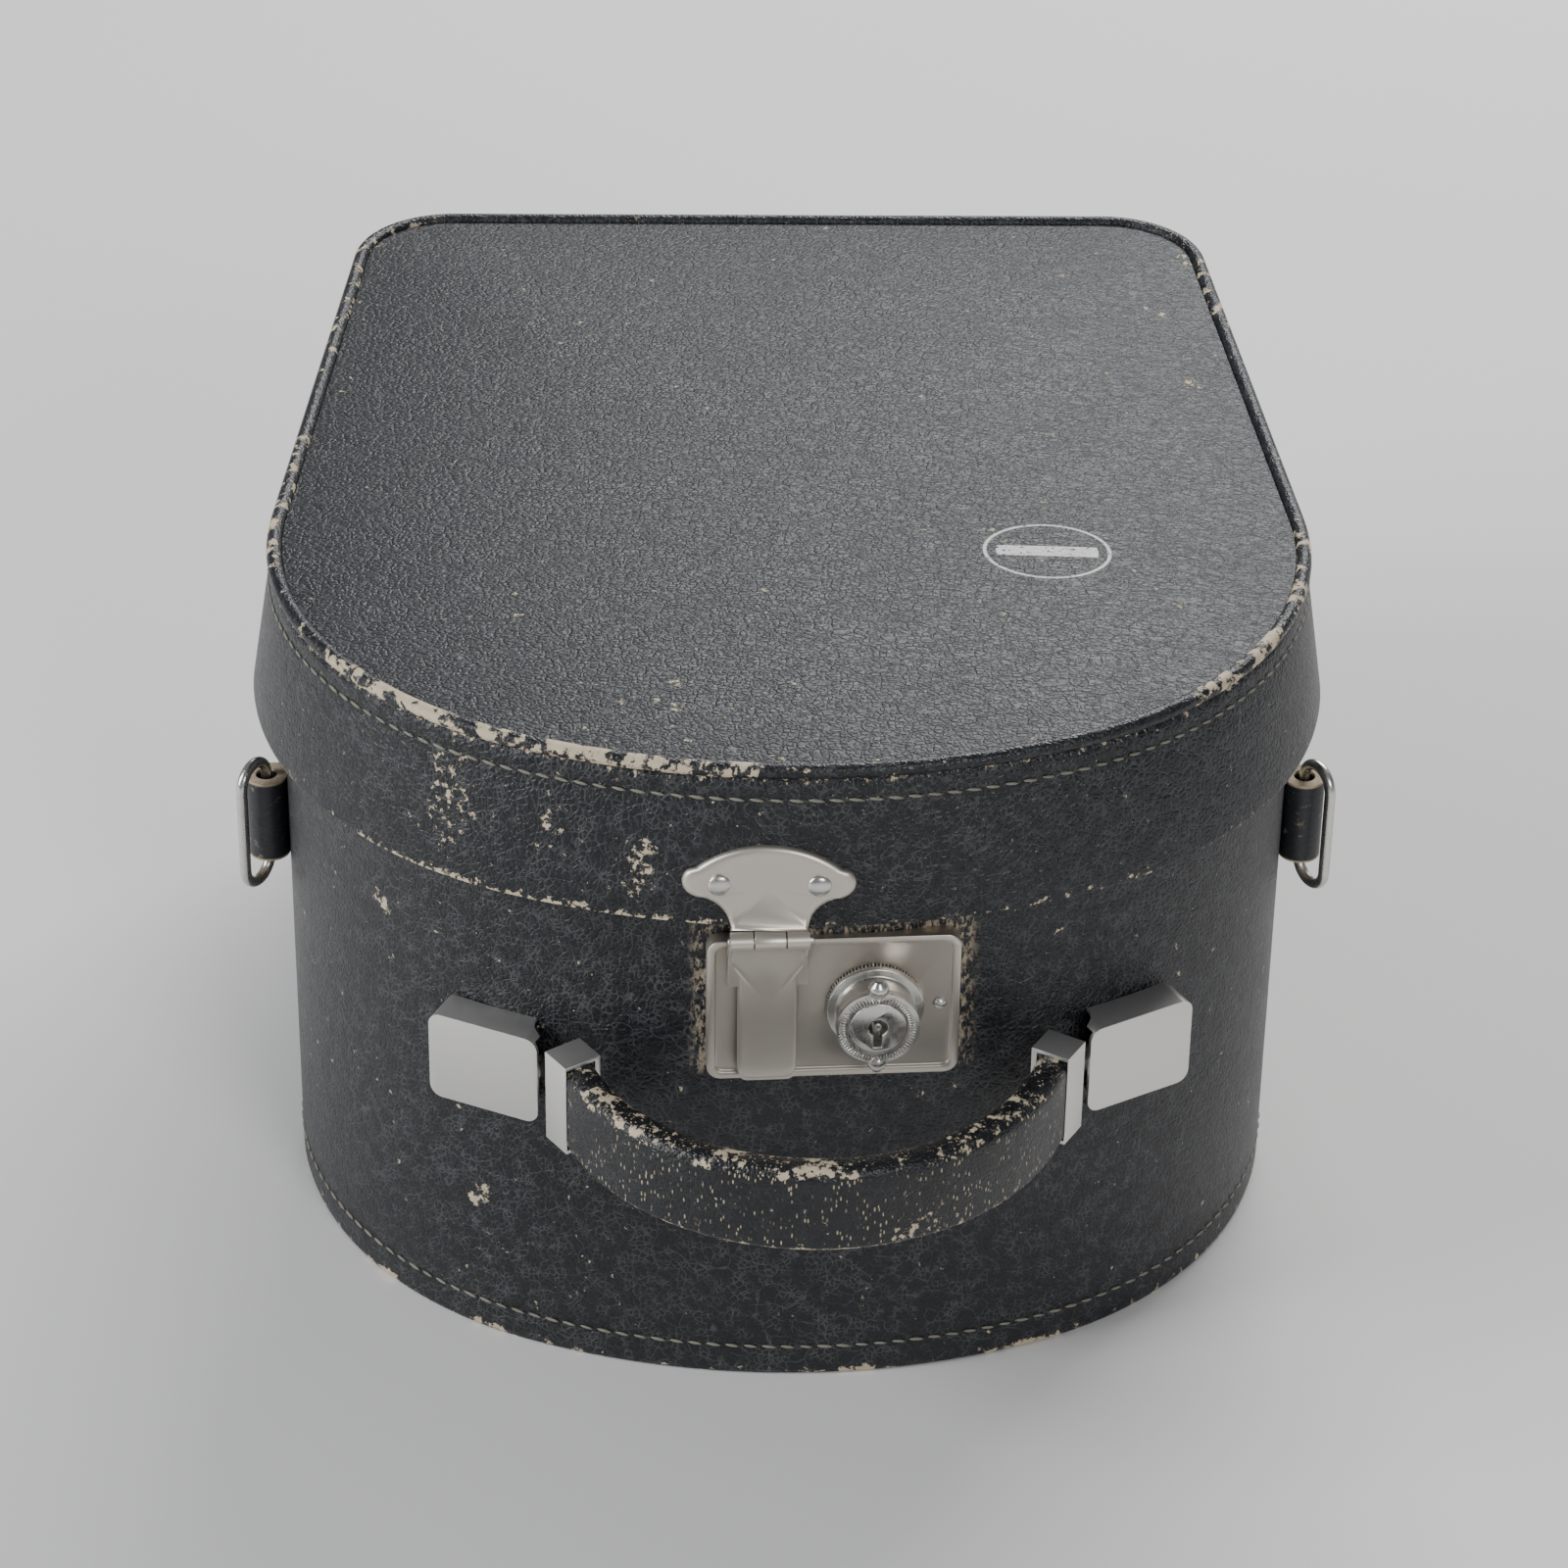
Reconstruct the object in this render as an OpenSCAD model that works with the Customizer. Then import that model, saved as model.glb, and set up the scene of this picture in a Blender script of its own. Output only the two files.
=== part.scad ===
// Round-fronted leather case: a D-plan body, a flared hinged lid, a hasp lock and a bowed handle.
// Millimetres, +Z up, front towards -Y. The origin is under the middle of the whole object.

/* [Body] */
// Width of the body at its widest point
body_w = 230; // [190:1:280]
// Depth of the body, from the round front to the flat back
body_d = 256; // [220:1:320]
// Height of the lid's rim above the floor
rim_h = 162.6; // [135:0.1:200]
// Radius of the round front
front_r = 150; // [135:1:200]
// Radius of the two shoulders, where the front turns into the sides
shoulder_r = 93; // [60:1:94]
// Radius of the two back corners
corner_r = 22; // [15:1:45]
// Angle by which each side closes in towards the back
side_taper = 5.1; // [0:0.1:8]
// Thickness of the leather cover
leather_t = 1.2; // [0.8:0.1:2]
// Thickness of the fibreboard wall
board_t = 3; // [2:0.1:4.5]
// Thickness of the base board
base_t = 4; // [3:0.1:6]
// Thickness of the cloth lining
lining_t = 0.8; // [0.5:0.1:1.5]

/* [Lid] */
// Height of the lid's skirt, from its lower edge to the rim
skirt_h = 36.3; // [28:0.1:48]
// How far the skirt's lower edge stands out past the body
skirt_out = 6.6; // [5.8:0.1:10]
// How far the skirt stands out at the rim
rim_out = 0.8; // [0.4:0.1:1.5]
// Height of the padded top over the rim
dome_h = 4; // [2:0.1:8]
// Radius of the piping
piping_r = 1.7; // [1.2:0.1:2.2]
// Thickness of the collar that guides the lid
collar_t = 2; // [1.5:0.1:3]
// How far the body wall reaches up inside the lid
wall_in_lid = 6; // [4:0.1:8]
// How far the collar reaches up inside the lid
collar_in_lid = 20; // [12:0.5:26]

/* [Handle] */
// Distance of the handle to the right of the middle, along the round front
handle_x = 5; // [-8:0.5:8]
// Distance between the middles of the two end caps
cap_span = 137; // [125:1:150]
// Length of an end cap
cap_len = 26.5; // [22:0.5:30]
// Height of an end cap
cap_h = 22; // [18:0.5:28]
// How far an end cap stands out
cap_out = 8; // [7:0.1:10]
// Wall of an end cap
cap_wall = 0.9; // [0.6:0.1:1.2]
// Height of the handle's middle above the floor
handle_z = 80; // [70:0.5:95]
// Height of the handle's strap
strap_h = 21; // [16:0.5:26]
// Thickness of the handle's strap
strap_t = 7.2; // [5:0.1:9]
// Radius of the handle's outer face
bow_r = 57.5; // [54:0.5:62]
// How far the handle reaches out in front of the body
bow_out = 45; // [38:0.5:55]
// Diameter of the handle's pivot pins
pivot_d = 2.4; // [2:0.1:3]

/* [Lock] */
// Distance of the lock to the right of the middle, along the round front
lock_x = 8.5; // [-12:0.5:12]
// Width of the lock plate
plate_w = 54.6; // [48:0.1:64]
// Height of the lock plate
plate_h = 36; // [32:0.1:44]
// Thickness of the lock plate at its middle
plate_t = 1.3; // [1:0.1:2]
// Distance of the lock plate's top below the skirt's lower edge
plate_drop = 5.8; // [5:0.1:14]
// Distance of the hasp to the left of the lock's middle
hasp_x = 14.4; // [10:0.1:16]
// Distance of the knob to the right of the lock's middle
knob_x = 8.9; // [7:0.1:12]
// Diameter of the knob's flange
flange_d = 21; // [18:0.1:24]
// Diameter of the knob's knurled face
knob_d = 18; // [15:0.1:20]
// How far the knob slides to let go of the hasp
knob_travel = 1.6; // [1:0.1:2.5]
// Diameter of the key barrel
barrel_d = 12.4; // [10:0.1:13]
// Width of the hasp plate
hasp_w = 37; // [32:0.5:44]
// Width of the hasp's tongue
tongue_w = 12.2; // [10:0.1:15]
// Diameter of the hasp's pin
hasp_pin_d = 1.6; // [1.2:0.1:2]

/* [Back hinges] */
// Distance between the middles of the two hinges
hinge_span = 110; // [80:1:130]
// Length of a hinge
hinge_len = 36; // [25:1:50]
// Outer diameter of a hinge knuckle
knuckle_d = 5; // [4:0.1:6]
// Diameter of a hinge pin
pin_d = 2.4; // [2:0.1:3]
// Thickness of a hinge leaf
leaf_t = 1; // [0.8:0.1:1.2]

/* [Side rings] */
// Angle by which each ring hangs towards the front
ring_turn = 60; // [0:5:75]
// Outer height of a carrying ring
ring_h = 34; // [28:0.5:42]
// Outer width of a carrying ring
ring_w = 12.6; // [11:0.1:18]
// Diameter of the ring's wire
wire_d = 2.6; // [2:0.1:3.2]
// Height of the leather loop that holds a ring
loop_h = 21; // [16:0.5:24]
// Outer diameter of the leather loop
loop_d = 9.6; // [8.4:0.1:12]
// Bore of the leather loop
loop_bore = 5; // [3.6:0.1:6]
// Height of a loop's middle above the floor
loop_z = 92; // [80:0.5:100]

/* [Hidden] */

gap = 0.1;
fit_gap = 0.05;
run_gap = 0.3;
arc_step = 5;
joint = 0.02;

// Heights
skirt_z = rim_h - skirt_h;
skirt_top = rim_h - 2.4;
wall_top = skirt_z + wall_in_lid;
collar_top = skirt_z + collar_in_lid;
plate_z = skirt_z - plate_drop - plate_h / 2;
collar_low = wall_top - 6;
lid_in = rim_h - 5.2;
floor_top = leather_t + base_t + 2 * gap;

// Offsets of each layer from the body's outer face, inwards
board_off = leather_t + gap;
lining_off = board_off + board_t + gap;
inside_off = lining_off + lining_t;
collar_off = inside_off + collar_t;

// Offset of the flared skirt's outer face at height z
function skirt_off(z) = skirt_out - (skirt_out - rim_out) * (z - skirt_z) / (rim_h - skirt_z);
skirt_board_off = leather_t + gap;
skirt_board_t = board_t - 0.6;
skirt_lining_off = skirt_board_off + skirt_board_t + gap;

// Plan outline: centres of the shoulder and corner arcs
half_w = body_w / 2;
shoulder_x = half_w - shoulder_r;
shoulder_y = front_r - sqrt(pow(front_r - shoulder_r, 2) - pow(shoulder_x, 2));
front_turn = atan2(shoulder_x, front_r - shoulder_y);
side_n = [cos(side_taper), sin(side_taper)];
corner_y = body_d - corner_r;
side_line = shoulder_x * side_n[0] + shoulder_y * side_n[1] + shoulder_r - corner_r;
corner_x = (side_line - corner_y * side_n[1]) / side_n[0];

// Points of an arc about c, from angle a to angle b measured from the front
function arc(c, r, a, b, n) = [for (i = [0:n]) let (t = a + (b - a) * i / n)
    [c[0] + r * sin(t), c[1] - r * cos(t)]];
function right_side(o) = concat(
    arc([0, front_r], front_r + o, 0, front_turn, ceil(front_turn / arc_step)),
    arc([shoulder_x, shoulder_y], shoulder_r + o, front_turn + 3, 90 + side_taper, 14),
    arc([corner_x, corner_y], corner_r + o, 90 + side_taper, 180, 8));
function mirrored(p) = [for (i = [len(p) - 1:-1:1]) [-p[i][0], p[i][1]]];
function outline(o) = concat(right_side(o), mirrored(right_side(o)));
function lift(p, z) = [for (q = p) [q[0], q[1], z]];

// Everything is drawn with the front of the body at y = 0 and then centred
handle_turn = asin(handle_x / front_r);
bow_y = bow_r - bow_out;
front_reach = bow_r - front_r + (front_r - bow_y) * cos(handle_turn);
back_reach = body_d + skirt_out + leaf_t + joint;
module placed() {
    translate([0, (front_reach - back_reach) / 2, 0]) children();
}
// Carries a fitting round the front by a distance x to the right
module round_front(x) {
    translate([0, front_r, 0]) rotate([0, 0, asin(x / front_r)]) translate([0, -front_r, 0])
        children();
}
// A level slab of the plan outline
module slab(o, z0, z1) {
    translate([0, 0, z0]) linear_extrude(z1 - z0) polygon(outline(o));
}
// A straight ring between two offsets
module ring(o1, o0, z0, z1) {
    translate([0, 0, z0]) linear_extrude(z1 - z0) difference() {
        polygon(outline(o1));
        polygon(outline(o0));
    }
}
// A closed skin over loops of equal length, the first joined to the last
module loops(list) {
    n = len(list[0]);
    m = len(list);
    polyhedron(
        points = [for (l = list) for (p = l) p],
        faces = [for (j = [0:m - 1]) for (i = [0:n - 1]) let (k = (j + 1) % m, h = (i + 1) % n)
            each [[j * n + i, j * n + h, k * n + h], [j * n + i, k * n + h, k * n + i]]],
        convexity = 6);
}
// A closed skin over loops of equal length, with a flat cap on the first and the last
module stack(list) {
    n = len(list[0]);
    m = len(list);
    polyhedron(
        points = [for (l = list) for (p = l) p],
        faces = concat(
            [[for (i = [0:n - 1]) i]],
            [[for (i = [n - 1:-1:0]) (m - 1) * n + i]],
            [for (j = [0:m - 2]) for (i = [0:n - 1]) let (h = (i + 1) % n)
                each [[j * n + i, (j + 1) * n + h, j * n + h],
                    [j * n + i, (j + 1) * n + i, (j + 1) * n + h]]]),
        convexity = 4);
}
// A ring that follows the skirt's flare, from depth d to depth d + t behind its outer face
module flared_ring(d, t, z0, z1) {
    loops([
        lift(outline(skirt_off(z0) - d), z0),
        lift(outline(skirt_off(z0) - d - t), z0),
        lift(outline(skirt_off(z1) - d - t), z1),
        lift(outline(skirt_off(z1) - d), z1)]);
}
module rounded(w, h, r) {
    union() {
        square([w - 2 * r, h], center = true);
        square([w, h - 2 * r], center = true);
        for (x = [-1, 1]) for (y = [-1, 1])
            translate([x * (w / 2 - r), y * (h / 2 - r)]) circle(r, $fn = 32);
    }
}
// Stands a shape drawn in X and Z off the front: from depth y0 to depth y1
module facing(y0, y1) {
    translate([0, y1, 0]) rotate([90, 0, 0]) linear_extrude(y1 - y0) children();
}
module cyl_x(d, x0, x1) {
    translate([x0, 0, 0]) rotate([0, 90, 0]) cylinder(h = x1 - x0, d = d, $fn = 48);
}
module cyl_y(d, y0, y1) {
    translate([0, y1, 0]) rotate([90, 0, 0]) cylinder(h = y1 - y0, d = d, $fn = 64);
}
// The body's round front as a solid to cut against
module front_drum() {
    translate([0, front_r, -1]) cylinder(h = rim_h + 2, r = front_r + joint, $fn = 360);
}

// ---- Body ----
module base_board() {
    color("tan") placed() slab(-board_off, leather_t + gap, leather_t + gap + base_t);
}
module base_cover() {
    color("#202226") placed() slab(-board_off, 0, leather_t);
}
module base_lining() {
    color("#6b2230") placed() slab(-inside_off - gap, floor_top, floor_top + lining_t);
}
module wall_board() {
    color("tan") placed() difference() {
        ring(-board_off, -board_off - board_t, floor_top, wall_top - leather_t);
        lock_well();
    }
}
module wall_cover() {
    color("#26282c") placed() difference() {
        ring(0, -leather_t, 0, wall_top);
        lock_well();
    }
}
module wall_lining() {
    color("#6b2230") placed() difference() {
        ring(-lining_off, -inside_off, floor_top, wall_top);
        lock_well();
    }
}
// The collar: a band inside the wall that rises into the lid
module collar() {
    color("#6b2230") placed() ring(-inside_off - joint, -collar_off, collar_low, collar_top);
}

// ---- Lock ----
case_w = 40;
case_h = 24;
case_t = 7.5;
case_wall = 0.8;
case_front = 2.2;
stud_r = 1.7;
stud_x = knob_x + flange_d / 2 + knob_travel + run_gap + stud_r;
case_x = 2.5;
case_z = plate_z - 1;
neck_d = 7;
bolt_y = 3;
bolt_reach = 21;
bolt_tail = 6;
module lock_well() {
    round_front(lock_x) translate([case_x, 0, case_z]) facing(-2, case_t + 0.6)
        square([case_w + 0.4, case_h + 0.4], center = true);
}
module lock_plate() {
    color("#b9ab98") placed() round_front(lock_x) difference() {
        union() {
            translate([0, 0, plate_z]) facing(-plate_t, 3) rounded(plate_w, plate_h, 3.2);
            translate([0, 0, plate_z]) facing(-plate_t - 0.7, -plate_t) difference() {
                rounded(plate_w, plate_h, 3.2);
                rounded(plate_w - 3.6, plate_h - 3.6, 2);
            }
        }
        front_drum();
        // Slot along which the knob's neck slides
        for (x = [0, knob_travel]) translate([knob_x + x, 0, plate_z]) cyl_y(neck_d + 0.6, -4, 4);
        translate([knob_x + knob_travel / 2, 0, plate_z])
            cube([knob_travel, 8, neck_d + 0.6], center = true);
        // Channel behind the tongue, open at the top, for the eye
        translate([-hasp_x - eye_w / 2 - run_gap, -4, plate_z - 4])
            cube([eye_w + 2 * run_gap, 8, plate_h]);
    }
}
module lock_case() {
    color("#8d8f90") placed() round_front(lock_x) translate([case_x, 0, case_z]) difference() {
        facing(case_front, case_t) square([case_w, case_h], center = true);
        facing(case_front - 1, case_t - case_wall)
            square([case_w - 2 * case_wall, case_h - 2 * case_wall], center = true);
    }
}
module stop_stud() {
    color("#cfcac0") placed() round_front(lock_x) translate([stud_x, -plate_t, plate_z]) intersection() {
        translate([0, 0.6, 0]) sphere(r = stud_r, $fn = 32);
        cyl_y(6, -3, 0);
    }
}
// The bolt slides with the knob: a neck through the plate and a bar behind it
module lock_bolt() {
    color("#9a9c9d") placed() round_front(lock_x) union() {
        translate([knob_x, 0, plate_z]) cyl_y(neck_d, -plate_t - 0.4, bolt_y);
        translate([knob_x - bolt_reach, bolt_y, plate_z - 4])
            cube([bolt_reach + bolt_tail, 1.5, 8]);
    }
}
module lock_spring() {
    // Closed length of the return spring, on the bolt's tail
    color("#a8a8a6")
        placed() round_front(lock_x) translate([knob_x + bolt_tail + joint, bolt_y + 1.2, plate_z])
        cyl_x(2.2, 0, case_x + case_w / 2 - case_wall - knob_x - bolt_tail - knob_travel - run_gap);
}
flange_y = -plate_t - 0.4;
lug_d = 3.6;
lug_root = 0.4;
module knob_flange() {
    color("#cdc6b8") placed() round_front(lock_x) translate([knob_x, 0, plate_z]) difference() {
        union() {
            cyl_y(flange_d, flange_y - 1.6, flange_y);
            cyl_y(knob_d - 1, flange_y - 6.5, flange_y - 1.6);
        }
        cyl_y(barrel_d + 2 * fit_gap, flange_y - 7, flange_y - 1);
    }
}
module knob_ring() {
    color("#d6d0c4") placed() round_front(lock_x) translate([knob_x, flange_y - 6.5, plate_z]) union() {
        difference() {
            cyl_y(knob_d, -2, 0);
            cyl_y(barrel_d + 2 * fit_gap, -3, 1);
        }
        // Lugs for the fingers, at the top and bottom of the ring
        for (s = [0, 1]) mirror([0, 0, s]) translate([0, -1, knob_d / 2 - lug_root]) {
            cylinder(h = lug_root + 1.5, d = lug_d, $fn = 48);
            translate([0, 0, lug_root + 1.5]) cylinder(h = 1.1, d1 = lug_d, d2 = 2, $fn = 48);
        }
    }
}
module key_barrel() {
    color("#c4bba9") placed() round_front(lock_x) translate([knob_x, 0, plate_z]) difference() {
        cyl_y(barrel_d, flange_y - 8.6, flange_y - 1.05);
        difference() {
            union() {
                cyl_y(4.2, flange_y - 10, flange_y - 2.5);
                translate([-0.9, flange_y - 9, -5]) cube([1.8, 6.5, 5]);
            }
            cyl_y(1.6, flange_y - 8, flange_y);
        }
    }
}

// ---- Hasp ----
flare = atan((skirt_out - rim_out) / (rim_h - skirt_z));
hasp_z = skirt_z - 1.2;
hasp_y = -skirt_out - 2.3;
eye_w = 3.4;
knuckle_r = 2.1;
hasp_top = 19.6;
hasp_rivet_x = 10.5;
hasp_rivet_z = 10;
neck_w = 17;
// Places a shape on the flared front of the skirt, z = 0 at the skirt's lower edge
module on_skirt() {
    translate([-hasp_x, -skirt_out, skirt_z]) rotate([-flare, 0, 0]) children();
}
module skirt_drum() {
    translate([0, front_r, skirt_z - 20])
        cylinder(h = skirt_h + 20, r1 = front_r + skirt_off(skirt_z - 20) + joint,
            r2 = front_r + rim_out + joint, $fn = 360);
}
module hasp_shape() {
    difference() {
        union() {
            intersection() {
                translate([0, hasp_top - 24]) circle(24, $fn = 96);
                translate([-hasp_w / 2, 6]) square([hasp_w, 20]);
            }
            translate([-neck_w / 2, 0.8]) square([neck_w, 12]);
        }
        for (s = [-1, 1]) translate([s * (hasp_w / 2 + 1.2), 1.2]) circle(10.4, $fn = 64);
    }
}
module hasp_plate() {
    color("#c9bda8") placed() round_front(lock_x) difference() {
        union() {
            on_skirt() facing(-1.5, 3) hasp_shape();
            translate([-hasp_x, hasp_y, hasp_z]) for (s = [-1, 1])
                translate([s * 6, 0, 0]) cyl_x(2 * knuckle_r, -2.4, 2.4);
            for (s = [-1, 1]) translate([-hasp_x + s * 6 - 2.4, hasp_y - 0.2, hasp_z])
                cube([4.8, 1.6, 3]);
        }
        skirt_drum();
        translate([-hasp_x, hasp_y, hasp_z]) cyl_x(hasp_pin_d, -20, 20);
        on_skirt() for (s = [-1, 1]) translate([s * hasp_rivet_x, 0, hasp_rivet_z])
            cyl_y(3.2, -6, 6);
    }
}
module hasp_rivet(s) {
    color("#d8d2c6") placed() round_front(lock_x) union() {
        difference() {
            on_skirt() translate([s * hasp_rivet_x, 0, hasp_rivet_z]) cyl_y(3, -1.6, 3);
            skirt_drum();
        }
        on_skirt() translate([s * hasp_rivet_x, 0, hasp_rivet_z]) difference() {
            translate([0, -0.3, 0]) sphere(d = 5.4, $fn = 40);
            cyl_y(8, -1.5 - joint, 6);
        }
    }
}
module hasp_rivet_left() { hasp_rivet(-1); }
module hasp_rivet_right() { hasp_rivet(1); }
module hasp_pin() {
    color("#d8d2c6")
        placed() round_front(lock_x) translate([-hasp_x, hasp_y, hasp_z]) cyl_x(hasp_pin_d, -9, 9.4);
}
shoulder_z = hasp_z - 7.4;
tongue_low = plate_z - plate_h / 2 + 1.2;
tongue_y = -plate_t - 1.1;
tongue_t = 2;
arm_w = 6.4;
arm_t = 1.6;
slope = atan((tongue_y - tongue_t / 2 - hasp_y) / (hasp_z - shoulder_z));
slope_len = (hasp_z - shoulder_z) / cos(slope);
module hasp_tongue() {
    color("#bfb4a2") placed() round_front(lock_x) difference() {
        union() {
            translate([-hasp_x, hasp_y, hasp_z])
                cyl_x(2 * knuckle_r, -arm_w / 2 - gap, arm_w / 2 + gap);
            // Shoulder that slopes from the knuckle back to the lock plate
            translate([-hasp_x, hasp_y, hasp_z]) rotate([slope, 0, 0]) {
                translate([-arm_w / 2, -arm_t / 2, -slope_len + 1])
                    cube([arm_w, arm_t, slope_len - 1]);
                translate([-neck_w / 2 + gap, -tongue_t / 2, -slope_len - 0.4])
                    cube([neck_w - 2 * gap, tongue_t, slope_len + 0.4 - knuckle_r - run_gap]);
            }
            translate([-hasp_x, 0, 0]) facing(tongue_y - tongue_t, tongue_y) union() {
                translate([0, (shoulder_z + tongue_low) / 2])
                    rounded(tongue_w, shoulder_z - tongue_low, 2);
                translate([0, shoulder_z - 3.5]) square([neck_w, 7.4], center = true);
            }
            // Eye that the bolt catches
            translate([-hasp_x - eye_w / 2, tongue_y - 0.5, plate_z - 3])
                cube([eye_w, 2.2, 6]);
        }
        translate([-hasp_x, hasp_y, hasp_z]) cyl_x(hasp_pin_d + 2 * fit_gap, -20, 20);
    }
}

// ---- Handle ----
cap_angle = asin(cap_span / 2 / front_r);
// Places a shape at an end cap: X along the cap outwards, Y into the body
module at_cap() {
    translate([0, front_r, handle_z]) rotate([0, 0, cap_angle]) translate([0, -front_r, 0])
        children();
}
module cap() {
    difference() {
        at_cap() facing(-cap_out, 3) rounded(cap_len, cap_h, 3);
        at_cap() translate([-cap_wall, 0, 0]) facing(-cap_out + cap_wall, 6)
            square([cap_len - cap_wall, cap_h - 2 * cap_wall], center = true);
        // Open inner end with a concave cut through the top and bottom walls
        at_cap() translate([-cap_len / 2 - 1, 0, -cap_h]) cylinder(h = 2 * cap_h, r = 5, $fn = 48);
        front_drum();
    }
}
module cap_right() { color("#c8c6c0") placed() round_front(handle_x) cap(); }
module cap_left() { color("#c8c6c0") placed() round_front(handle_x) mirror([1, 0, 0]) cap(); }
pivot_x = cap_span / 2 - 6.7;
pivot_y = 9.6;
pivot_len = 5.6;
// A pivot pin and its foot, which is fixed to the body
module pivot() {
    translate([0, pivot_y, handle_z]) union() {
        cyl_x(pivot_d, pivot_x - pivot_len / 2, pivot_x + pivot_len / 2 + 1.2);
        translate([pivot_x + pivot_len / 2, -pivot_d / 2, -3]) cube([1.2, 12, 6]);
    }
}
module pivot_cut() {
    difference() {
        pivot();
        front_drum();
    }
}
module pivot_right() { color("#9a9c9d") placed() round_front(handle_x) pivot_cut(); }
module pivot_left() { color("#9a9c9d") placed() round_front(handle_x) mirror([1, 0, 0]) pivot_cut(); }
// Half angle of the strap's arc, up to the ferrules
bow_half = 73;
module bow(r1, r0, h, a) {
    translate([0, bow_y, handle_z - h / 2]) rotate([0, 0, -90 - a])
        rotate_extrude(angle = 2 * a, $fn = 180) translate([r0, 0]) square([r1 - r0, h]);
}
core_t = 1.2;
core_h = strap_h - 7;
mid_r = bow_r - strap_t / 2;
module handle_core() {
    color("#8a8c8e")
        placed() round_front(handle_x) bow(mid_r + core_t / 2, mid_r - core_t / 2, core_h, bow_half + 3);
}
module handle_cover() {
    color("#232529") placed() round_front(handle_x) difference() {
        bow(bow_r, bow_r - strap_t, strap_h, bow_half);
        bow(mid_r + core_t / 2 + joint, mid_r - core_t / 2 - joint, core_h + 2 * joint,
            bow_half + 2);
    }
}
ferrule_len = 8;
toe = 16;
ferrule_wall = 0.7;
// Puts a shape at the end of the bow, with X out of the arc and Z up
module at_bow_end() {
    translate([0, bow_y, handle_z]) rotate([0, 0, bow_half - 90]) translate([mid_r, 0, 0])
        rotate([0, 0, -toe]) children();
}
eye_d = 5.4;
module ferrule() {
    difference() {
        union() {
            at_bow_end() translate([0, ferrule_len / 2 - 2, 0])
                cube([strap_t + 2 * ferrule_wall + 0.4, ferrule_len, strap_h + 1.8], center = true);
            // Eye on the pivot pin, joined to the ferrule by a web
            translate([0, pivot_y, handle_z]) cyl_x(eye_d, pivot_x - 2.4, pivot_x + 2.4);
            at_bow_end() translate([-1.2, 2, -2.5]) cube([2.4, 12.2, 5]);
        }
        bow(bow_r + joint, bow_r - strap_t - joint, strap_h + 2 * joint, bow_half + 0.1);
        bow(mid_r + core_t / 2 + joint, mid_r - core_t / 2 - joint, core_h + 2 * joint,
            bow_half + 3.2);
        translate([0, pivot_y, handle_z]) cyl_x(pivot_d + 2 * fit_gap, 20, 90);
    }
}
module ferrule_right() { color("#bdbab2") placed() round_front(handle_x) ferrule(); }
module ferrule_left() { color("#bdbab2") placed() round_front(handle_x) mirror([1, 0, 0]) ferrule(); }

// ---- Side loops and rings ----
loop_y = shoulder_y - 6;
loop_x = half_w + loop_d / 2 - 0.2;
module side_loop() {
    translate([loop_x, loop_y, loop_z]) difference() {
        union() {
            cylinder(h = loop_h, d = loop_d, center = true, $fn = 64);
            translate([-loop_d / 2, -0.6, -loop_h / 2]) cube([4, 5.4, loop_h]);
        }
        cylinder(h = loop_h + 2, d = loop_bore, center = true, $fn = 64);
        translate([-loop_x, -loop_y, -loop_z]) slab(joint, 0, rim_h);
    }
}
module loop_right() { color("#2a2c30") placed() side_loop(); }
module loop_left() { color("#2a2c30") placed() mirror([1, 0, 0]) side_loop(); }
bend_r = (ring_w - wire_d) / 2;
leg = ring_h - wire_d - 2 * bend_r;
module side_ring() {
    translate([loop_x, loop_y, loop_z]) rotate([0, 0, -ring_turn]) translate([bend_r, 0, 0]) {
        for (s = [-1, 1]) translate([s * bend_r, 0, 0])
            cylinder(h = leg, d = wire_d, center = true, $fn = 48);
        for (s = [0, 1]) mirror([0, 0, s]) translate([0, 0, leg / 2]) rotate([90, 0, 0])
            rotate_extrude(angle = 180, $fn = 96) translate([bend_r, 0])
                circle(d = wire_d, $fn = 48);
    }
}
module ring_right() { color("#c9c7c0") placed() side_ring(); }
module ring_left() { color("#c9c7c0") placed() mirror([1, 0, 0]) side_ring(); }

// ---- Back hinges ----
leaf_rivet_x = 11;
leaf_rivet_low = 11.5;
leaf_rivet_up = 13;
hinge_gap = 0.6;
hinge_z = skirt_z - knuckle_d / 2 - 1.2;
hinge_y = body_d + knuckle_d / 2 + hinge_gap;
leaf_h = 20;
knuckles = 3;
knuckle_len = hinge_len / knuckles;
module knuckle(i) {
    translate([(i - (knuckles - 1) / 2) * knuckle_len, 0, 0])
        cyl_x(knuckle_d, -knuckle_len / 2 + gap, knuckle_len / 2 - gap);
}
module body_leaf() {
    difference() {
        union() {
            translate([-hinge_len / 2, body_d + joint, hinge_z - leaf_h])
                cube([hinge_len, leaf_t, leaf_h - knuckle_d / 2 - hinge_gap]);
            translate([0, hinge_y, hinge_z]) knuckle(1);
            translate([-knuckle_len / 2 + gap, body_d + joint, hinge_z - knuckle_d / 2 - 0.7])
                cube([knuckle_len - 2 * gap, leaf_t + 1.6, 3]);
        }
        translate([0, hinge_y, hinge_z]) cyl_x(pin_d, -60, 60);
        for (s = [-1, 1]) translate([s * leaf_rivet_x, body_d, hinge_z - leaf_rivet_low]) cyl_y(2.4, -3, 4);
    }
}
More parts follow.
